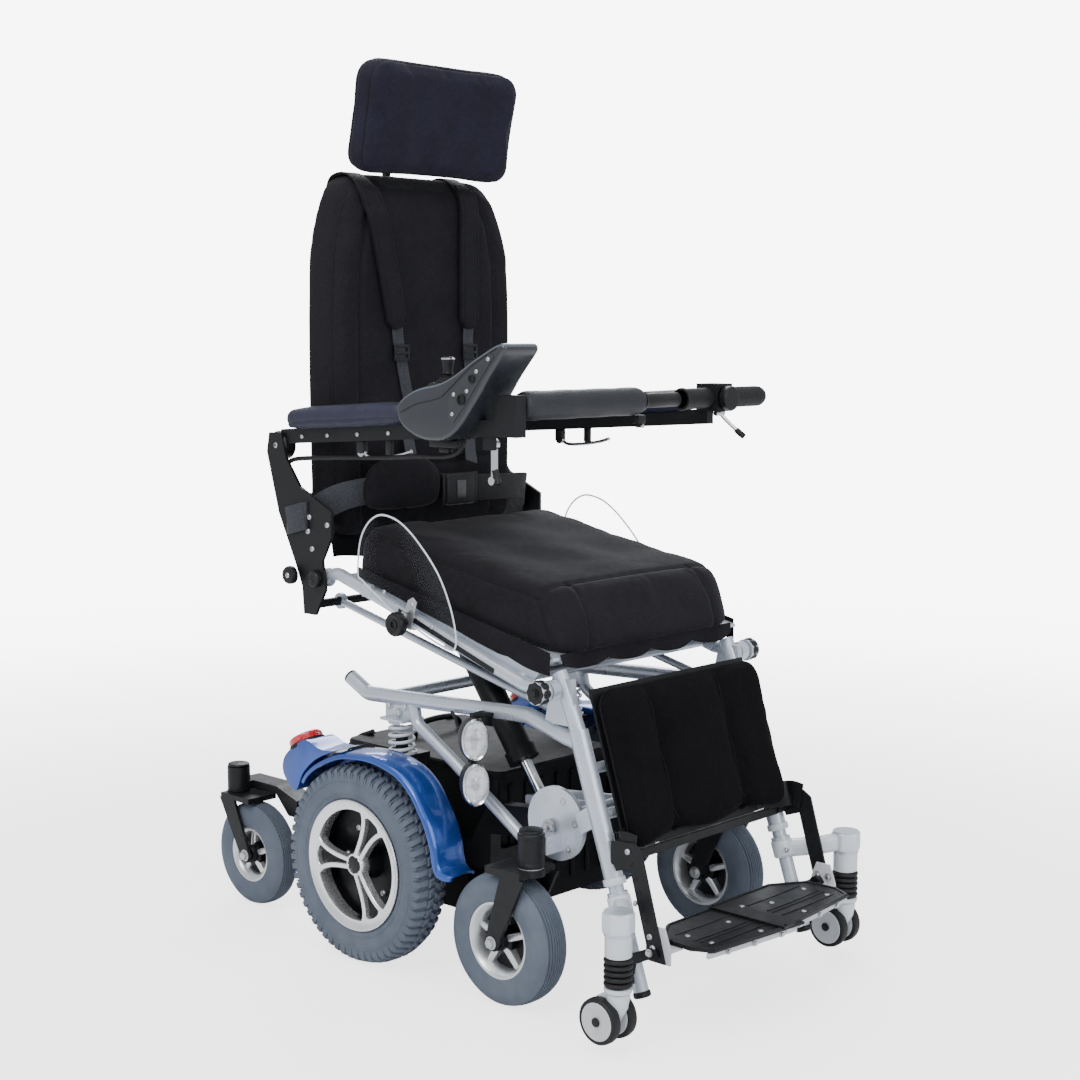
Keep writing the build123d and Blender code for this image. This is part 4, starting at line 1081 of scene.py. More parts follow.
for i, (side, s) in enumerate(LR):
    seam(cush, ln([(160 * s, 44, 4), (160 * s, 14, -2), (161 * s, -4, -20), (164 * s, -22, -50), (168 * s, -40, -88)]), f"seat_cushion_corner_seam_{side}", "seat", 4, 5, 1.3)
    seam(cush, ln([(236 * s, 40, -6), (238 * s, 140, -6), (238 * s, 300, -6), (236 * s, 440, -6)]), f"seat_cushion_side_seam_{side}", "seat", 3.5, 5, 1.6)
seam(cush, ln([(-236, 466, -14), (-120, 474, -12), (0, 475, -12), (120, 474, -12), (236, 466, -14)]), "seat_cushion_rear_seam", "seat", 3.5, 5, 1.6)
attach(cush, "seat")
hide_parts("seat_cushion")
# scalloped flap hanging under the front edge
V, F = [], []
nx = 97
for j, f in enumerate((0.0, 0.25, 0.5, 0.75, 1.0)):
    for i in range(nx):
        x = -226 + 452 * i / (nx - 1)
        drop = 13 + 13 * abs(math.sin((x + 226) / 452 * math.pi * 4)) ** 0.7
        V.append((x, -404 + 3.5 * math.sin(x / 17) * f - 4 * f, 590 - drop * f))
for j in range(4):
    F += [(j * nx + i, j * nx + i + 1, (j + 1) * nx + i + 1, (j + 1) * nx + i) for i in range(nx - 1)]
flap = put("seat_flap", (np.array(V), F), KNIT)
m = flap.modifiers.new("t", "SOLIDIFY")
m.thickness, m.offset = 2.4 * S, 0
apply(flap)
shade(flap, 50)
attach(flap, "seat")
hem = [V[4 * nx + i] for i in range(nx)]
put("seat_flap_hem", sweep(np.array(hem), circ(1.9, 8), up=(0, 1, 0)), PIPING, "seat")

for side, s in LR:
    n = 61
    up_ = [(-398 + 466 * i / (n - 1), 583 + 0.2126 * (25 + 466 * i / (n - 1)) + 6) for i in range(n)]
    lo_ = []
    for i in range(n):
        y_ = up_[i][0]
        base = 535 + (y_ + 400) * 0.279 + 13
        lo_.append((y_, max(base, up_[i][1] - 36 - 3.5 * abs(math.sin(i / (n - 1) * math.pi * 5)))))
    V, F = [], []
    for j in range(5):
        f = j / 4
        for i in range(n):
            V.append((s * (244.6 + 1.1 * math.sin(i / 2.7) * f + 0.8 * f), up_[i][0], up_[i][1] + (lo_[i][1] - up_[i][1]) * f))
    for j in range(4):
        F += [(j * n + i, j * n + i + 1, (j + 1) * n + i + 1, (j + 1) * n + i) for i in range(n - 1)]
    sk = put(f"seat_skirt_{side}", (np.array(V), F), KNIT)
    m = sk.modifiers.new("t", "SOLIDIFY")
    m.thickness, m.offset = 2.0 * S, 0
    apply(sk)
    shade(sk, 50)
    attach(sk, "seat")
    put(f"seat_skirt_hem_{side}", sweep(np.array([V[4 * n + i] for i in range(n)]), circ(1.5, 8), up=(1, 0, 0)), PIPING, "seat")

# ---- backrest
bw = [(735, 196), (742, 212), (758, 222), (800, 226), (900, 227), (1050, 228), (1180, 227), (1260, 221), (1305, 211), (1335, 200), (1358, 188), (1372, 172), (1379, 150), (1381, 120)]
half = spline([(w_, z_) for z_, w_ in bw], 3)
out = np.concatenate([half, np.array([(60, 1382.0)]), (half * [-1, 1])[::-1][0:0], np.array([(-60, 1382.0)]), (half * [-1, 1])[::-1]])
ctr = [(170, 733.5), (60, 732), (-60, 732), (-170, 733.5)]
out = np.concatenate([out, np.array(ctr[::-1])])
a2 = 0.5 * np.sum(out[:, 0] * np.roll(out[:, 1], -1) - np.roll(out[:, 0], -1) * out[:, 1])
if a2 < 0:
    out = out[::-1]
lay = [(inset(out, e), y) for e, y in ((10, 230), (2, 228), (-2, 220), (-3, 200), (-3, 166), (-1, 154), (7, 146), (18, 142.5), (50, 141.5))]
back = put("backrest_foam", layered(lay, lambda a, b, h: np.array([a, h, b])), KNIT)
soften(back, 8.5, 7.0)
P = coords(back)
x, y, z = (P / S).T
fr = smooth(-y, -190, -150)
bol = 9 * smooth(np.abs(x), 150, 196) - 5 * np.exp(-(x / 90) ** 2)
bol = bol * (1 - smooth(z, 1250, 1340)) + 5 * np.exp(-((z - 850) / 80) ** 2) * (1 - smooth(np.abs(x), 150, 190))
wr = 1.6 * np.sin(z / 21 + 1.3 * np.sin(x / 40)) * np.exp(-((np.abs(x) - 120) / 45) ** 2) * np.exp(-((z - 960) / 140) ** 2)
P[:, 1] -= (bol + wr) * fr * S * 0.9
P[:, 1] = np.maximum(P[:, 1], 0.1335)
P[:, 2] += 15 * S * smooth(z, 1290, 1378) * smooth(P[:, 1] / S, 150, 176) * (1 - smooth(P[:, 1] / S, 214, 232))
setco(back, P)
for i, (side, s) in enumerate(LR):
    seam(back, [(166 * s, 140, 762), (170 * s, 140, 860), (173 * s, 140, 1000), (173 * s, 140, 1150), (168 * s, 140, 1240), (154 * s, 140, 1310), (128 * s, 142, 1352), (118 * s, 150, 1374)], f"backrest_bolster_seam_{side}", "back", 6, 8, 1.5)
    seam(back, [(224 * s, 156, 770), (226 * s, 156, 900), (227 * s, 156, 1050), (226 * s, 156, 1190), (219 * s, 156, 1262), (203 * s, 156, 1326), (182 * s, 156, 1364)], f"backrest_edge_seam_{side}", "back", 3, 5, 1.7)
seam(back, [(-150, 140, 870), (-60, 138, 862), (60, 138, 862), (150, 140, 870)], "backrest_lumbar_seam", "back", 4, 6, 1.3)
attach(back, "back")
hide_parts("backrest_pad")
BB = BVHTree.FromPolygons([v.co for v in back.data.vertices], [p.vertices for p in back.data.polygons])


def on_back(x, z, lift):
    hit = BB.ray_cast(Vector((x * S, 0, z * S)), Vector((0, 1, 0)))
    return (x, hit[0].y / S - lift if hit[0] else 140 - lift, z)


def on_top(x, y, lift):
    hit = BB.ray_cast(Vector((x * S, y * S, 1.6)), Vector((0, 0, -1)))
    return (x, y, hit[0].z / S + lift if hit[0] else 1378)


# ---- headrest
HC, HT = np.array([0, 122.0, 1490.0]), 11


def head_pt(a, b, h):
    return np.array([a, 122.0 + h, 1490.0 + b])


o2 = corner_rect(-188, 188, -101, 105, 34, 34, 40, 40)
lay = [(inset(o2, e), h) for e, h in ((13, 28), (3, 26), (-1, 20), (-1, -15), (1, -21), (8, -26), (21, -28.5), (50, -29))]
hd = put("headrest_foam", layered(lay, head_pt), KNIT2)
soften(hd, 5.5, 6.0)
P = coords(hd)
x, y, z = (P / S).T
fr = smooth(-(y - 122), 0, 18)
P[:, 1] += (-4.5 * (x / 175) ** 2 * 1.0 + 3.5 * np.exp(-(x / 95) ** 2)) * fr * S
P[:, 1] += fr * S * (1.3 * np.sin(x / 15 + z / 60) * np.exp(-((x + 60) / 70) ** 2) + 1.0 * np.sin(x / 19 - z / 50) * np.exp(-((x - 80) / 60) ** 2))
P[:, 2] += S * 3.0 * np.cos(np.clip(x / 175, -1, 1) * math.pi / 2) * smooth(z, 1540, 1588)
Rh = np.array(Matrix.Rotation(math.radians(HT), 3, "X"))
P = (P - HC * S) @ Rh.T + HC * S
setco(hd, P)
hp = lambda pts: [(np.array(p) - HC) @ Rh.T + HC for p in pts]
ring = [(a, 122 - 18, 1490 + b) for a, b in inset(corner_rect(-190, 190, -103, 107, 36, 36, 42, 42), 1)]
seam(hd, hp(ring + ring[:1]), "headrest_piping_front", "headrest", 2.5, 4.5, 1.7)
ring = [(a, 122 + 19, 1490 + b) for a, b in inset(corner_rect(-190, 190, -103, 107, 36, 36, 42, 42), 1)]
seam(hd, hp(ring + ring[:1]), "headrest_piping_rear", "headrest", 2.5, 4.5, 1.7)
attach(hd, "headrest")
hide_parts("headrest_pad")

# ---- calf pad
B0, BD, BN = np.array([-449.0, 536.0]), np.array([-.305, -.9525]), np.array([-.9523, .3049])


def calf_pt(x, t, h):
    q = B0 + BD * t + BN * h
    return np.array([x, q[0], q[1]])


o2 = corner_rect(-211, 211, 1, 264, 34, 34, 22, 22)
lay = [(inset(o2, e), h) for e, h in ((8, 2), (1, 4), (-1, 10), (-1, 16), (2, 23), (10, 28), (24, 30), (60, 30.5))]
calf = put("calf_pad_foam", layered(lay, calf_pt), KNIT_CALF_SHADED)
soften(calf, 6.5, 7.0)
P = coords(calf)
x = P[:, 0] / S
q0 = P[:, 1] / S - B0[0]
q1 = P[:, 2] / S - B0[1]
tt = q0 * BD[0] + q1 * BD[1]
hh = q0 * BN[0] + q1 * BN[1]
fr = smooth(hh, 8, 26)
ch = -13 * np.exp(-((np.abs(x) - 92) / 15) ** 2) * smooth(tt, -4, 40) + 2.5 * np.cos(x / 92 * math.pi) - 2 * smooth(np.abs(x), 186, 212)
ch += 1.3 * np.sin(tt / 17 + x / 30) * np.exp(-((np.abs(x) - 92) / 40) ** 2)
dh = np.minimum(fr * ch, 45 - hh)
P[:, 1] += BN[0] * dh * S
P[:, 2] += BN[1] * dh * S
P[:, 2] += S * (-5 * smooth(tt, 215, 262) * np.cos(x / 92 * math.pi))
setco(calf, P)
for i, (side, s) in enumerate(LR):
    seam(calf, [calf_pt(s * 92, t_, 30) for t_ in (14, 60, 120, 180, 240)], f"calf_pad_channel_seam_{side}", "upper_frame", 1.5, 4, 1.0)
ring = [calf_pt(a, b, 9) for a, b in inset(corner_rect(-214, 214, -1, 267, 36, 36, 24, 24), 1)]
seam(calf, ring + ring[:1], "calf_pad_piping", "upper_frame", 2, 4, 1.7)
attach(calf, "upper_frame")
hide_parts("calf_pad")
cad(BLACKM, "calf_plate")

# ---- arm pads
rail = lambda y: 904 - (21 / 315) * (y - 257)


def armpad(name, x0, x1, y0, y1, body, node):
    o2 = corner_rect(x0 + 1, x1 - 1, y0 + 1, y1 - 1, 20, 20, 26, 26)
    lay = [(inset(o2, e), h) for e, h in ((7, 1.2), (2.2, 3.5), (1.5, 9), (1.5, 22), (3.5, 28), (9, 32.5), (16, 34), (24, 34.6))]
    o = put(name, layered(lay, lambda a, b, h: np.array([a, b, rail(b) + 27.3 + h])), VINYL)
    soften(o, 4.5, 3.5)
    ring = [(a, b, rail(b) + 27.3 + 9) for a, b in inset(o2, -1)]
    seam(o, ring + ring[:1], name + "_piping", body, 1.8, 3.5, 1.4, VINYL)
    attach(o, body)
    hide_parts(node)


armpad("arm_pad_right_foam", -293, -231, -94, 222, "arm_right", "arm_pad_right")
armpad("arm_pad_left_foam", 231, 293, -296, 222, "arm_left", "arm_pad_left")

# ---- chest roll, grip tube, spigot, latches
prof = [(0, 0), (0, 12), (1.5, 18), (5, 22.2), (11, 24.2)] + [(t_, 24.3 + 0.35 * math.sin(t_ / 13)) for t_ in range(20, 281, 8)] + [(286, 24.0), (293, 22), (297.5, 18), (299.5, 12), (300, 0)]
roll = put("chest_roll", lathe(prof, (-242.5, -330, 990), (1, 0, 0), 48), VINYLB, ang=70)
seam(roll, [(x_, -330 + 12, 990 - 21) for x_ in range(-236, 52, 12)], "chest_roll_seam", "arm_right", 1.2, 3, 0.9, VINYLB)
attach(roll, "arm_right")
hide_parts("chest_pad")
gp = [(176, 16.0), (173.5, 17), (172.5, 18.4), (174, 18.8)] + [(190, 18.8), (300, 18.8)]
for x_ in range(304, 384, 6):
    gp += [(x_, 18.8), (x_ + 1, 18.2), (x_ + 2.4, 18.2), (x_ + 3.4, 18.8)]
gp += [(392, 18.8), (400, 18.2), (406, 15.6), (408.6, 10), (409.2, 0)]
inner = [(404, 0), (404, 14.5), (380, 16.0)]
grip = lathe(gp + inner, (0, -330, 990), (1, 0, 0), 48)
put("chest_grip", grip, RUBB, "chest_bar", ang=35, rep="chest_tube")
ends = lathe([(170.3, 16.1), (170.3, 19.4), (172, 20.3), (176.5, 20.3), (178, 19.4), (178, 16.1)], (0, -330, 990), (1, 0, 0), 40, closed=True)
put("chest_grip_ring", ends, PLAST, "chest_bar", ang=30)
put("chest_spigot", join(cx(57.5, 160, -330, 990, 12.8, 3), lathe([(58, 13), (58, 18), (64, 17), (66, 13)], (0, -330, 990), (1, 0, 0), 32, closed=True)), PLAST, "arm_right", ang=35)
put("chest_latch_block", join(box(46, 66, -338, -322, 951, 966), box(50, 62, -335, -325, 944, 952)), PLAST, "arm_right", bevel=2)
put("chest_latch_screw", join(cyl((61, -330, 958), (70, -330, 958), 4, 1, 16), cyl((55, -341, 947), (55, -336, 947), 3.4, 1, 16)), CHROME, "arm_right")
put("chest_clamp_lever", join(tube([(283, -330, 966), (290, -334, 955), (300, -345, 940), (312, -356, 926)], 3.6, 12), cyl((272, -330, 962), (296, -330, 962), 5.5, 1.5, 20)), CHROME, "arm_left")
put("chest_clamp_lever_tip", cyl((306, -351, 932), (318, -362, 918), 5.5, 2.5, 16), RUBB, "arm_left")
put("chest_clamp_knob", lathe([(0, 0), (0, 9), (4, 9), (4, 20), (7, 22), (18, 22), (21, 19), (22, 12), (21, 0)], (268, -352.5, 990), (0, -1, 0), 36), PLAST, "arm_left", ang=35)

# =============================================================== seat hardware
cad(SILVER, "seat_frame", "levelling_rods")
cad(BLACKM, "actuator_tube")
cad(CHROME, "actuator_rod")
GO = [(41, 682), (40, 712), (36, 738), (27, 760), (12, 778), (-5, 789), (-23, 793.5), (-46, 791), (-70, 783), (-96, 767), (-120, 747), (-144, 724), (-165, 699), (-182, 670), (-195, 640), (-203, 612), (-205, 592), (-201, 580), (-190, 577), (-150, 588), (-105, 605), (-60, 622), (-10, 650), (30, 674)]
gl = spline([(0, y, z) for y, z in GO], 3, True)
for i, (side, s) in enumerate(LR):
    g = prism([(y, z) for _, y, z in gl], 265.2, 268.8)
    put(f"side_guard_{side}", sided(g, s), CLEAR, "seat", bevel=0.8, rep="side_guards" if i == 0 else ())
    # the near-white strip round the guard's rim is a painted highlight of the clear sheet's edge
    put(f"side_guard_edge_{side}", sided(sweep(gl * [1, 1, 1] + np.array([267, 0, 0]), rrect(3.5, 1.5, 0.5, 1), up=(1, 0, 0), closed=True), s), GUARD_EDGE_GLINT, "seat", ang=50)
    put(f"guard_knob_stem_{side}", sided(cx(269.2, 284, -85, 612, 9, 1), s), PLAST, "seat")
    put(f"guard_knob_{side}", sided(lathe([(0, 0), (0, 14), (2, 19), (6, 21), (15, 21), (18, 19.5), (19, 16), (17.5, 12), (17.5, 9), (19, 8.6), (19, 6), (16, 5.4), (16, 0)], (282, -85, 612), (1, 0, 0), 48), s), PLAST, "seat", ang=30)
    put(f"guard_bracket_{side}", sided(join(prism([(-98, 600), (-74, 606), (-92, 652), (-104, 658), (-114, 650)], 269.4, 272), box(256, 272, -98, -76, 628, 631)), s), STEEL, "seat", bevel=0.7)
    put(f"guard_bolts_{side}", sided(join(capscrew((272, -103, 645), (1, 0, 0), 4, 3), capscrew((269.3, -150, 612), (1, 0, 0), 4, 3), capscrew((269.3, -30, 660), (1, 0, 0), 4, 3)), s), STEEL, "seat")
    put(f"seat_tube_strip_{side}", sided(sweep(np.array([(264.2, -290, 553.5), (264.2, -170, 593.6), (264.2, -60, 630)]), rrect(1.6, 9, 0.6, 1), fixed=(1, 0, 0)), s), BLACKM, "seat")
    put(f"seat_rear_plate_bolts_{side}", sided(join(*[capscrew((274.2, y, z), (1, 0, 0), 5.2, 4) for y, z in ((162, 777), (113, 766), (155, 720), (166, 751))]), s), STEEL, "back")
    put(f"back_knob_low_{side}", sided(knob((274.3, 206, 669), (1, 0, 0), 17.5, 18, 1), s), PLAST, "back", ang=30)
    put(f"back_knob_pivot_{side}", sided(lathe([(0, 0), (0, 15), (3, 15.5), (9, 14.5), (11, 12), (11, 7), (9, 5), (9, 0)], (274.3, 145, 667), (1, 0, 0), 32), s), PLAST, "back", ang=30)
    put(f"back_knob_screw_{side}", sided(join(capscrew((291, 206, 669), (1, 0, 0), 5, 3)), s), STEEL, "back")
    put(f"knee_bolt_{side}", sided(hexbolt((289.2, *KNEE), (1, 0, 0), 6, 3), s), PLAST, "upper_frame", ang=30)
    # hinge cap at arm pivot
    put(f"arm_drum_cap_{side}", sided(lathe([(0, 0), (0, 25), (2, 25.4), (5, 23), (6.5, 17), (6.5, 12), (5, 10), (5, 0)], (266.2, 257, 902), (1, 0, 0), 40), s), PLAST, f"arm_{side}", ang=30)
    put(f"arm_drum_bolt_{side}", sided(capscrew((271, 257, 902), (1, 0, 0), 6, 4), s), STEEL, f"arm_{side}")
    put(f"arm_rail_screws_{side}", sided(join(*[capscrew((266.1, y, rail(y) + 12), (1, 0, 0), 4.2, 3) for y in (190, 120, 40, -40)]), s), STEEL, f"arm_{side}")
    lev = tube([(257, 38, 905), (257, 20, 892), (257, -20, 893), (257, -62, 899), (257, -88, 906)], 3.4, 12)
    put(f"arm_lock_block_{side}", sided(join(box(251, 263, 29, 47, 897, 919), box(253, 261, -40, -26, 897, 925)), s), PLAST, f"arm_{side}", bevel=1.5)
    put(f"arm_lock_lever_{side}", sided(join(lev, lathe([(-4, 4), (-4, 9), (4, 9), (4, 4)], (257, 38, 900), (1, 0, 0), 28, closed=True)), s), CHROME, f"arm_{side}", ang=40)

# =============================================================== arms and back hardware
cad(BLACKM, "armrest_frame_left", "armrest_frame_right", "back_frame", "headrest_post")
cad(CHROME, "release_lever")
put("release_lever_grip", tube([(-247, -277, 884), (-246, -280, 872), (-246, -284, 861)], 5.6, 14), PLAST, "release_lever", ang=40)

pod = [(-100, 968), (-100, 986), (-112, 998), (-128, 1007), (-145, 1014), (-165, 1019), (-190, 1023), (-215, 1030), (-245, 1044), (-272, 1060), (-300, 1074), (-325, 1086), (-343, 1091), (-351, 1088), (-352, 1079), (-342, 1066), (-326, 1048), (-310, 1029), (-293, 1006), (-275, 984), (-257, 963), (-238, 945), (-218, 934), (-199, 930), (-172, 930), (-150, 934), (-130, 941), (-112, 952)]
ps = spline([(0, y, z) for y, z in pod], 3, True)
hp_ = put("controller_pod", prism([(y, z) for _, y, z in ps], -303, -221), POD, bevel=7, seg=4, ang=50)
hp_.data.materials.append(POD_TOP_HIGHLIGHT)
# upward-facing faces of the pod take the lighter material: painted highlight on the top
for p in hp_.data.polygons:
    if p.normal.z > 0.42 and p.center.z > 0.985:
        p.material_index = 1
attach(hp_, "arm_right")
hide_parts("controller_housing")
pan = [(-226, 970), (-238, 962), (-264, 990), (-300, 1034), (-331, 1070), (-322, 1076), (-292, 1056), (-250, 1026), (-226, 1000)]
put("pod_side_panel", prism(pan, -304.6, -302.6), PANEL, "arm_right", bevel=1.0)
put("pod_side_screws", join(*[capscrew((-304.4, y, z), (-1, 0, 0), 3.6, 2.4) for y, z in ((-236, 976), (-240, 1008), (-270, 1014), (-292, 1046), (-318, 1066))]), STEEL, "arm_right")
put("pod_sockets", join(lathe([(0, 0), (0, 9), (3, 9), (3, 6.5), (1, 6), (1, 0)], (-304.6, -258, 1000), (-1, 0, 0), 28), lathe([(0, 0), (0, 7), (2.5, 7), (2.5, 5), (1, 4.6), (1, 0)], (-304.6, -282, 1034), (-1, 0, 0), 28)), PLAST, "arm_right", ang=30)
put("pod_side_groove", sweep(spline([(-303.2, -112, 975), (-303.2, -150, 990), (-303.2, -200, 1000), (-303.2, -222, 1012), (-303.2, -280, 1055), (-303.2, -335, 1083)], 6), circ(1.0, 8), up=(1, 0, 0)), PLAST, "arm_right")
deck = prism([(-292, -205 + 0), (-292, -132), (-284, -124), (-240, -124), (-232, -132), (-232, -205), (-240, -213), (-284, -213)], 0, 1, "XY")
put("pod_underside_bracket", join(box(-276, -248, -214, -150, 917, 931), box(-268, -256, -190, -165, 908, 918)), PLAST, "arm_right", bevel=3)
put("pod_cable", tube([(-262, -205, 932), (-262, -212, 915), (-262, -180, 902), (-261, -100, 898), (-259, -20, 892), (-257, 60, 888), (-258, 140, 884), (-262, 215, 878), (-268, 236, 866)], 4.2, 12), RUBB, "arm_right")
put("pod_plug", join(cyl((-262, -204, 936), (-262, -210, 918), 7.5, 1.5, 20)), RUBB, "arm_right")
leds = [box(-266 - 0 + i * 7 - 8, -262 + i * 7 - 8, -226, -222, 1036.5 - 0, 1037.6) for i in range(3)]
# boot, gimbal ring and handle
put("joystick_collar", lathe([(1009, 20), (1009, 33), (1021.5, 34), (1025, 31), (1025.5, 26), (1022, 20)], (-262, -183, 0), (0, 0, 1), 48, closed=True), PLAST, "arm_right", ang=30)
put("joystick_bellows", lathe([(1018, 0), (1018, 25.5), (1021, 26.5), (1023.5, 24), (1024, 21), (1027, 21.5), (1029, 18), (1029.6, 15.5), (1032, 15.5), (1034, 11.5), (1035, 7.5), (1036, 0)], (-262, -183, 0), (0, 0, 1), 40), RUBB, "joystick_gimbal", ang=60, rep="joystick_gimbal")
put("joystick_handle", lathe([(1032, 0), (1032, 5.5), (1037, 6), (1040, 9.2), (1046, 8.2), (1056, 9.6), (1064, 11.2), (1067, 10.6), (1068, 8), (1067.4, 0)], (-262, -183, 0), (0, 0, 1), 36), PLAST, "joystick", ang=40, rep="joystick")
put("joystick_ring", lathe([(1063.4, 10.6), (1063.4, 11.7), (1066, 11.7), (1066.6, 10.4)], (-262, -183, 0), (0, 0, 1), 36, closed=True), CHROME, "joystick", ang=40)
cad(GREY, "mode_button")

# headrest and back details
put("headrest_clamp", join(box(-26, 26, 244, 262, 1368, 1398)), BLACKM, "back", bevel=4)
put("headrest_clamp_knob", knob((0, 262.5, 1383), (0, 1, 0), 19, 22, 6), PLAST, "back", ang=30)
put("back_panel_screws", join(*[capscrew((x_, 240.2, z_), (0, 1, 0), 5, 3.2) for x_ in (-155, 155) for z_ in (820, 960, 1100, 1240, 1325)]), STEEL, "back")
put("back_panel_ribs", join(*[box(x_ - 4, x_ + 4, 239.5, 244, 850, 1300) for x_ in (-90, -30, 30, 90)]), PLAST, "back", bevel=1.5)
for side, s in LR:
    put(f"back_cane_cap_{side}", lathe([(0, 0), (0, 13.4), (4, 13.6), (9, 12), (11, 7), (11.5, 0)], (150 * s, 252, 1330), (0, 0, 1), 28), PLAST, "back")
    put(f"push_handle_grip_{side}", join(*[lathe([(0, 12.7), (0, 14.4), (3, 14.4), (3, 12.7)], (150 * s, 252, z_), (0, 0, 1), 28, closed=True) for z_ in (780, 1310)]), STEEL, "back", ang=30)

# ---- shoulder harness
for side, s, c0, c1, z1 in (("right", -1, (-150, 1358), (-88, 1112), 985), ("left", 1, (95, 1362), (95, 1112), 985)):
    pts = [(c0[0], 236, 1318), (c0[0], 234.5, 1350), on_top(c0[0], 222, 5), on_top(c0[0], 190, 4.5), on_top(c0[0], 160, 5)]
    n = 12
    for i in range(n + 1):
        f = i / n
        x_ = c0[0] + (c1[0] - c0[0]) * (f ** 0.85)
        z_ = c0[1] + (1112 - c0[1]) * f
        pts.append(on_back(x_, z_, 9.5 if i < n else 8))
    pp = spline(pts[4:], 3)
    body_w = 46
    sec = rrect(body_w, 13, 6, 4)
    sc_ = np.ones(len(pp)); sc_[:3] = (0.45, 0.75, 0.93); sc_[-3:] = (0.93, 0.72, 0.45)
    put(f"harness_pad_{side}", sweep(pp, sec, fixed=(1, 0, 0.0), scale=sc_), KNIT, "back", sub=1, ang=60)
    for q in (-17, 17):
        e_ = pp[2:-2] + np.array([q, 0, 0]); 
        put(f"harness_pad_stitch_{side}_{'a' if q < 0 else 'b'}", sweep(e_ - np.array([0, 6.3, 0]), circ(0.7, 6), up=(0, 1, 0)), PIPING, "back")
    up = np.array(pts[:6])
    up[5] = (up[5][0], up[5][1] + 2, up[5][2])
    put(f"harness_web_top_{side}", strap(up, 38, 2.6, (1, 0, 0)), WEBB, "back", ang=50)
    lo = [tuple(pp[-3])] + [on_back(c1[0] + s * 0 + (28 if s < 0 else 8) * f, 1112 - (1112 - z1) * f, 5.0) for f in (0.12, 0.35, 0.6, 0.85, 1.0)]
    xe = lo[-1][0]
    lo += [on_back(xe + (-6 if s < 0 else -8), 930, 8), (xe + (-12 if s < 0 else -20), 112, 885), (xe + (-20 if s < 0 else -30), 98, 862)]
    put(f"harness_web_{side}", strap(lo, 26, 2.4, (1, 0, 0.0)), WEBG, "back", ang=50)
    y_ = on_back(lo[2][0], lo[2][2], 6.6)
    bk = join(box(y_[0] - 17, y_[0] + 17, y_[1] - 3.6, y_[1] - 0.4, y_[2] + 12, y_[2] + 17), box(y_[0] - 17, y_[0] + 17, y_[1] - 3.6, y_[1] - 0.4, y_[2] - 13, y_[2] - 8), box(y_[0] - 19, y_[0] - 14, y_[1] - 3.6, y_[1] - 0.4, y_[2] - 13, y_[2] + 17), box(y_[0] + 14, y_[0] + 19, y_[1] - 3.6, y_[1] - 0.4, y_[2] - 13, y_[2] + 17), box(y_[0] - 16, y_[0] + 16, y_[1] - 5, y_[1] - 2, y_[2] - 1, y_[2] + 4))
    put(f"harness_slider_{side}", bk, PLAST, "back", bevel=0.8)

# ---- fabric flap closing the gap under the backrest
V, F = [], []
nx = 89
for j in range(6):
    f = j / 5
    for i in range(nx):
        x = -214 + 428 * i / (nx - 1)
        V.append((x, 176 - 10 * f + 2.5 * math.sin(x / 19) * f, 742 - (44 + 3 * math.sin(x / 26)) * f))
for j in range(5):
    F += [(j * nx + i, j * nx + i + 1, (j + 1) * nx + i + 1, (j + 1) * nx + i) for i in range(nx - 1)]
bf = put("backrest_flap", (np.array(V), F), KNIT)
m = bf.modifiers.new("t", "SOLIDIFY")
m.thickness, m.offset = 2.4 * S, 0
apply(bf)
shade(bf, 50)
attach(bf, "back")
put("backrest_flap_hem", sweep(np.array([V[5 * nx + i] for i in range(nx)]), circ(1.8, 8), up=(0, 1, 0)), PIPING, "back")

# ---- lap belt
loop = [(-262.5, 172), (-262.5, 219), (-265, 222), (-277, 222), (-279.5, 219), (-279.5, 172), (-277, 169), (-265, 169)]
put("lap_belt_loop", sweep(np.array([(a, b, 773 + (b - 195) * -0.25) for a, b in loop]), rrect(50, 2.4, 1, 2), fixed=(0, 0, 1), closed=True), WEBG, "back", ang=50)
put("lap_belt_near", strap([(-262, 186, 778), (-257, 160, 790), (-247, 132, 806), (-232, 112, 816), (-205, 98, 822), (-170, 93, 824), (-150, 92, 824)], 50, 2.6, (0.0, -0.15, 1)), WEBG, "back", ang=50)
dome = [(x_, z_) for x_, z_ in spline([(a, 0, b) for a, b in ((-205, 800), (-208, 838), (-190, 868), (-150, 886), (-105, 890), (-60, 880), (-30, 860), (-22, 835), (-26, 805), (-45, 788), (-115, 783), (-185, 787))], 4, True)[:, [0, 2]]]
dp = np.array(dome)
a2 = 0.5 * np.sum(dp[:, 0] * np.roll(dp[:, 1], -1) - np.roll(dp[:, 0], -1) * dp[:, 1])
dp = dp if a2 > 0 else dp[::-1]
lay = [(inset(dp, e), y_) for e, y_ in ((8, 100), (2, 97), (1, 91), (3, 84), (9, 78), (20, 74), (34, 72))]
dm = put("lap_belt_pad", layered(lay, lambda a, b, h: np.array([a, h, b])), KNIT)
soften(dm, 5.0, 5.0)
ring = [(a, 91, b) for a, b in dp]
seam(dm, ring + ring[:1], "lap_belt_pad_piping", "back", 2, 4, 1.6)
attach(dm, "back")
put("lap_belt_far", strap([(-30, 92, 822), (10, 84, 818), (60, 82, 815), (140, 86, 812), (200, 96, 810), (232, 110, 806), (250, 130, 795), (259, 152, 775), (262, 165, 752)], 50, 2.6, (0.0, -0.15, 1)), WEBB, "back", ang=50)
bz = 815
bkl = join(box(-16, 56, 72, 84, 786, 844))
put("lap_buckle", bkl, PLAST, "back", bevel=4, seg=3)
put("lap_buckle_button", join(box(8, 30, 69.5, 74, 798, 832)), BUTTON, "back", bevel=1.5)
put("lap_buckle_bars", join(box(-24, -17, 76, 80, 787, 843), box(58, 65, 76, 80, 787, 843), box(-26, 67, 76.5, 79.5, 842, 845.5)), PLAST, "back", bevel=0.8)

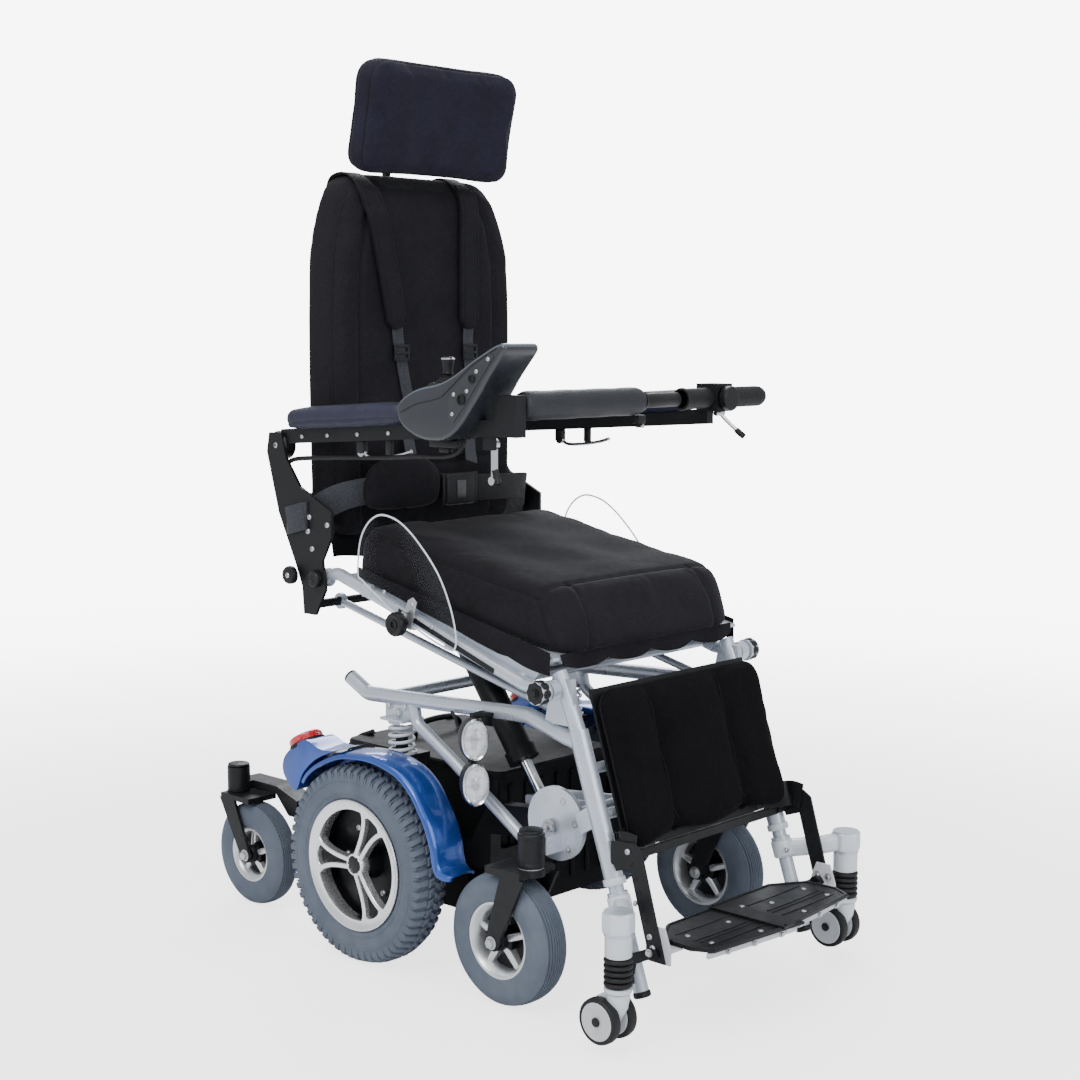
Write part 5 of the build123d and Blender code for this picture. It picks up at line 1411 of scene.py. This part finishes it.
# =============================================================== footrest
cad(BLACKM, "footplates")
bar0, bar1 = np.array([-566.0, 310.0]), np.array([-632.0, 128.0])
for i, (side, s) in enumerate(LR):
    d = (bar1 - bar0) / np.linalg.norm(bar1 - bar0)
    mid0 = np.array([-553.0, 300.0])
    gs, gh = [], []
    for t_ in (34, 56, 78, 100, 122):
        q = np.array([-552.0, 306.0]) + d * t_
        for xx, dr in ((233.1, 1), (228.9, -1)):
            gh.append(lathe([(0, 2.4), (0, 4.4), (0.8, 4.2), (0.8, 2.4)], (xx, q[0], q[1]), (dr, 0, 0), 18, closed=True))
    for t_ in (12, 148, 166):
        q = np.array([-552.0, 306.0]) + d * t_
        gs.append(capscrew((233.2, q[0], q[1]), (1, 0, 0), 5.2, 4))
    put(f"hanger_hole_rims_{side}", sided(join(*gh), s), PLAST, "upper_frame", ang=30)
    put(f"hanger_screws_{side}", sided(join(*gs), s), STEEL, "upper_frame")
    z0 = 150 if side == "right" else 154.2
    br = join(prism([(-640, z0 - 24), (-640, z0 + 2), (-628, z0 + 34), (-600, z0 + 34), (-590, z0 + 8), (-590, z0 - 24)], 225.2, 228.6), box(196, 228, -640, -590, z0 - 4.5, z0 - 0.6))
    put(f"footplate_bracket_{side}", sided(br, s), GREY, "footrest", bevel=1.0)
    put(f"footplate_bracket_bolts_{side}", sided(join(hexbolt((225.1, -626, z0 + 12), (-1, 0, 0), 5, 3.5), hexbolt((225.1, -604, z0 + 12), (-1, 0, 0), 5, 3.5)), s), STEEL, "footrest", ang=30)
    x0, x1 = (-204, 28) if side == "right" else (-28, 204)
    zt = 154.0 if side == "right" else 158.2
    scr = [capscrew((x_, y_, zt), (0, 0, 1), 4.6, 2) for x_, y_ in ((s * 160, -620), (s * 160, -668), (s * 60, -625), (s * 60, -690), (s * 10, -600))]
    put(f"footplate_screws_{side}", join(*scr), STEEL, "footrest")
    # raised grip lines and rolled rim
    rim = [(-20, -563, 0), (60, -563, 0), (137, -563, 0), (197, -600, 0), (200.5, -658, 0), (184, -690.5, 0), (80, -702, 0), (-20, -710, 0)]
    rim = [(x_ * s, y_, zt + 0.6) for x_, y_, _ in rim]
    put(f"footplate_rim_{side}", sweep(dense(rim, 12), rrect(5, 3, 1.2, 2), up=(0, 0, 1)), PLAST, "footrest", ang=40)
    ribs = [strap([(s * 20, y_, zt + 0.5), (s * 90, y_ - 1, zt + 0.5), (s * 170, y_ + 2, zt + 0.5)], 3.0, 1.4, (0, 1, 0), 4, 0.5) for y_ in (-585 - 0, -605, -645, -655, -675)][1:]
    put(f"footplate_ribs_{side}", join(*ribs), PLAST, "footrest", ang=40)
    ub = strap([(s * 190, -684, zt - 10), (s * 80, -697, zt - 10), (s * -15, -705, zt - 10)], 7, 9, (0, 1, 0), 4, 1.5)
    put(f"footplate_front_rail_{side}", ub, GREY, "footrest", ang=40)
    put(f"footplate_rail_bolts_{side}", join(*[hexbolt((s * x_, y_, zt - 10), (0, -1, 0), 4, 3) for x_, y_ in ((150, -692.5), (90, -699.5), (25, -705))]), STEEL, "footrest", ang=30)
    # stay between the inner leg tube and the hanger bar
    st = join(prism([(-560, 96), (-548, 104), (-548, 122), (-566, 132), (-604, 150), (-618, 150), (-622, 138), (-606, 132), (-578, 118), (-574, 100)], 235.2, 239), prism([(-574, 84), (-552, 84), (-548, 122), (-566, 128)], 235.2, 239))
    put(f"hanger_stay_{side}", sided(st, s), BLACKM, "upper_frame", bevel=1)
    put(f"hanger_stay_bolts_{side}", sided(join(hexbolt((239, -606, 143), (1, 0, 0), 5, 3), hexbolt((239, -562, 104), (1, 0, 0), 5, 3)), s), STEEL, "upper_frame", ang=30)
    # strap bracket from the calf pad to the bar
    wp = [(150, -531 + 10, 298 + 8), (200, -528, 300), (224, -536, 300), (226.5, -548, 302), (226.8, -566, 300)]
    put(f"calf_strap_{side}", sided(strap(wp, 44, 3, (0, -.305, -.9525), 6), s), BLACKM, "upper_frame", ang=50)


# =============================================================== floor, light, camera
fl = bpy.data.meshes.new("floor")
fl.from_pydata([(-90, -90, -0.001), (90, -90, -0.001), (90, 90, -0.001), (-90, 90, -0.001)], [], [(0, 1, 2, 3)])
floor = bpy.data.objects.new("floor", fl)
COL.objects.link(floor)
t = NT("floor_paper")
t.set(col=t.ramp(t.noise(0.6, 2), (0.88, 0.885, 0.89), (0.91, 0.915, 0.92)), rough=0.5, spec=0.3, normal=t.bump(t.noise(240, 3), 0.0003, 0.15))
geo = t.n("ShaderNodeNewGeometry")
ln_ = t.n("ShaderNodeVectorMath", operation="LENGTH")
t.l(geo.outputs["Position"], ln_.inputs[0])
far = t.n("ShaderNodeMapRange", interpolation_type="SMOOTHSTEP")
for k_, v_ in zip(("From Min", "From Max", "To Min", "To Max"), (0.7, 4.5, 0.30, 1.0)):
    far.inputs[k_].default_value = v_
t.l(ln_.outputs["Value"], far.inputs[0])
cr = t.n("ShaderNodeLightPath")
fac = t.math("MULTIPLY", far.outputs[0], cr.outputs["Is Camera Ray"])
em = t.n("ShaderNodeEmission")
em.inputs[0].default_value = (0.985, 0.99, 1.0, 1)
em.inputs[1].default_value = 8.0
mixf = t.n("ShaderNodeMixShader")
t.l(fac, mixf.inputs[0])
t.l(t.b.outputs[0], mixf.inputs[1])
t.l(em.outputs[0], mixf.inputs[2])
t.l(mixf.outputs[0], t.out.inputs[0])
fl.materials.append(t.m)

w = bpy.data.worlds.new("studio")
w.use_nodes = True
bg = w.node_tree.nodes["Background"]
bg.inputs[0].default_value = (0.93, 0.955, 1.0, 1)
bg.inputs[1].default_value = 0.8
seen = w.node_tree.nodes.new("ShaderNodeBackground")
seen.inputs[0].default_value = (0.985, 0.99, 1.0, 1)
seen.inputs[1].default_value = 8.0
ray = w.node_tree.nodes.new("ShaderNodeLightPath")
mixn = w.node_tree.nodes.new("ShaderNodeMixShader")
w.node_tree.links.new(ray.outputs["Is Camera Ray"], mixn.inputs[0])
w.node_tree.links.new(bg.outputs[0], mixn.inputs[1])
w.node_tree.links.new(seen.outputs[0], mixn.inputs[2])
w.node_tree.links.new(mixn.outputs[0], w.node_tree.nodes["World Output"].inputs[0])
bpy.context.scene.world = w


def area(name, loc, look, size, energy, col=(1, 1, 1)):
    d = bpy.data.lights.new(name, "AREA")
    d.shape, d.size, d.size_y, d.energy, d.color = "RECTANGLE", size[0], size[1], energy, col
    o = bpy.data.objects.new(name, d)
    o.location = loc
    o.rotation_euler = (Vector(look) - Vector(loc)).to_track_quat("-Z", "Y").to_euler()
    COL.objects.link(o)
    return o


L1 = area("key", (-3.2, -1.2, 3.6), (0, 0, 0.6), (2.4, 2.4), 120, (1.0, 0.985, 0.96))
L2 = area("fill", (-0.6, -4.2, 2.2), (0, -0.1, 0.7), (3.0, 2.0), 55, (0.93, 0.96, 1.0))
L3 = area("rim", (2.6, 2.6, 3.0), (0, 0, 0.8), (2.0, 2.0), 90, (0.95, 0.97, 1.0))
L4 = area("top", (0, 0, 4.5), (0, 0, 0), (3.5, 3.5), 70)

cd = bpy.data.cameras.new("view")
cd.lens, cd.sensor_width, cd.clip_end = 61.04, 36.0, 100
cam = bpy.data.objects.new("view", cd)
yaw, pitch, roll = math.radians(47.019), math.radians(6.615), math.radians(0.104)
R = Matrix.Rotation(-yaw, 4, "Z") @ Matrix.Rotation(math.pi / 2 - pitch, 4, "X") @ Matrix.Rotation(roll, 4, "Z")
cam.matrix_world = Matrix.Translation((-2.38657, -2.37200, 1.11590)) @ R
COL.objects.link(cam)
bpy.context.scene.camera = cam
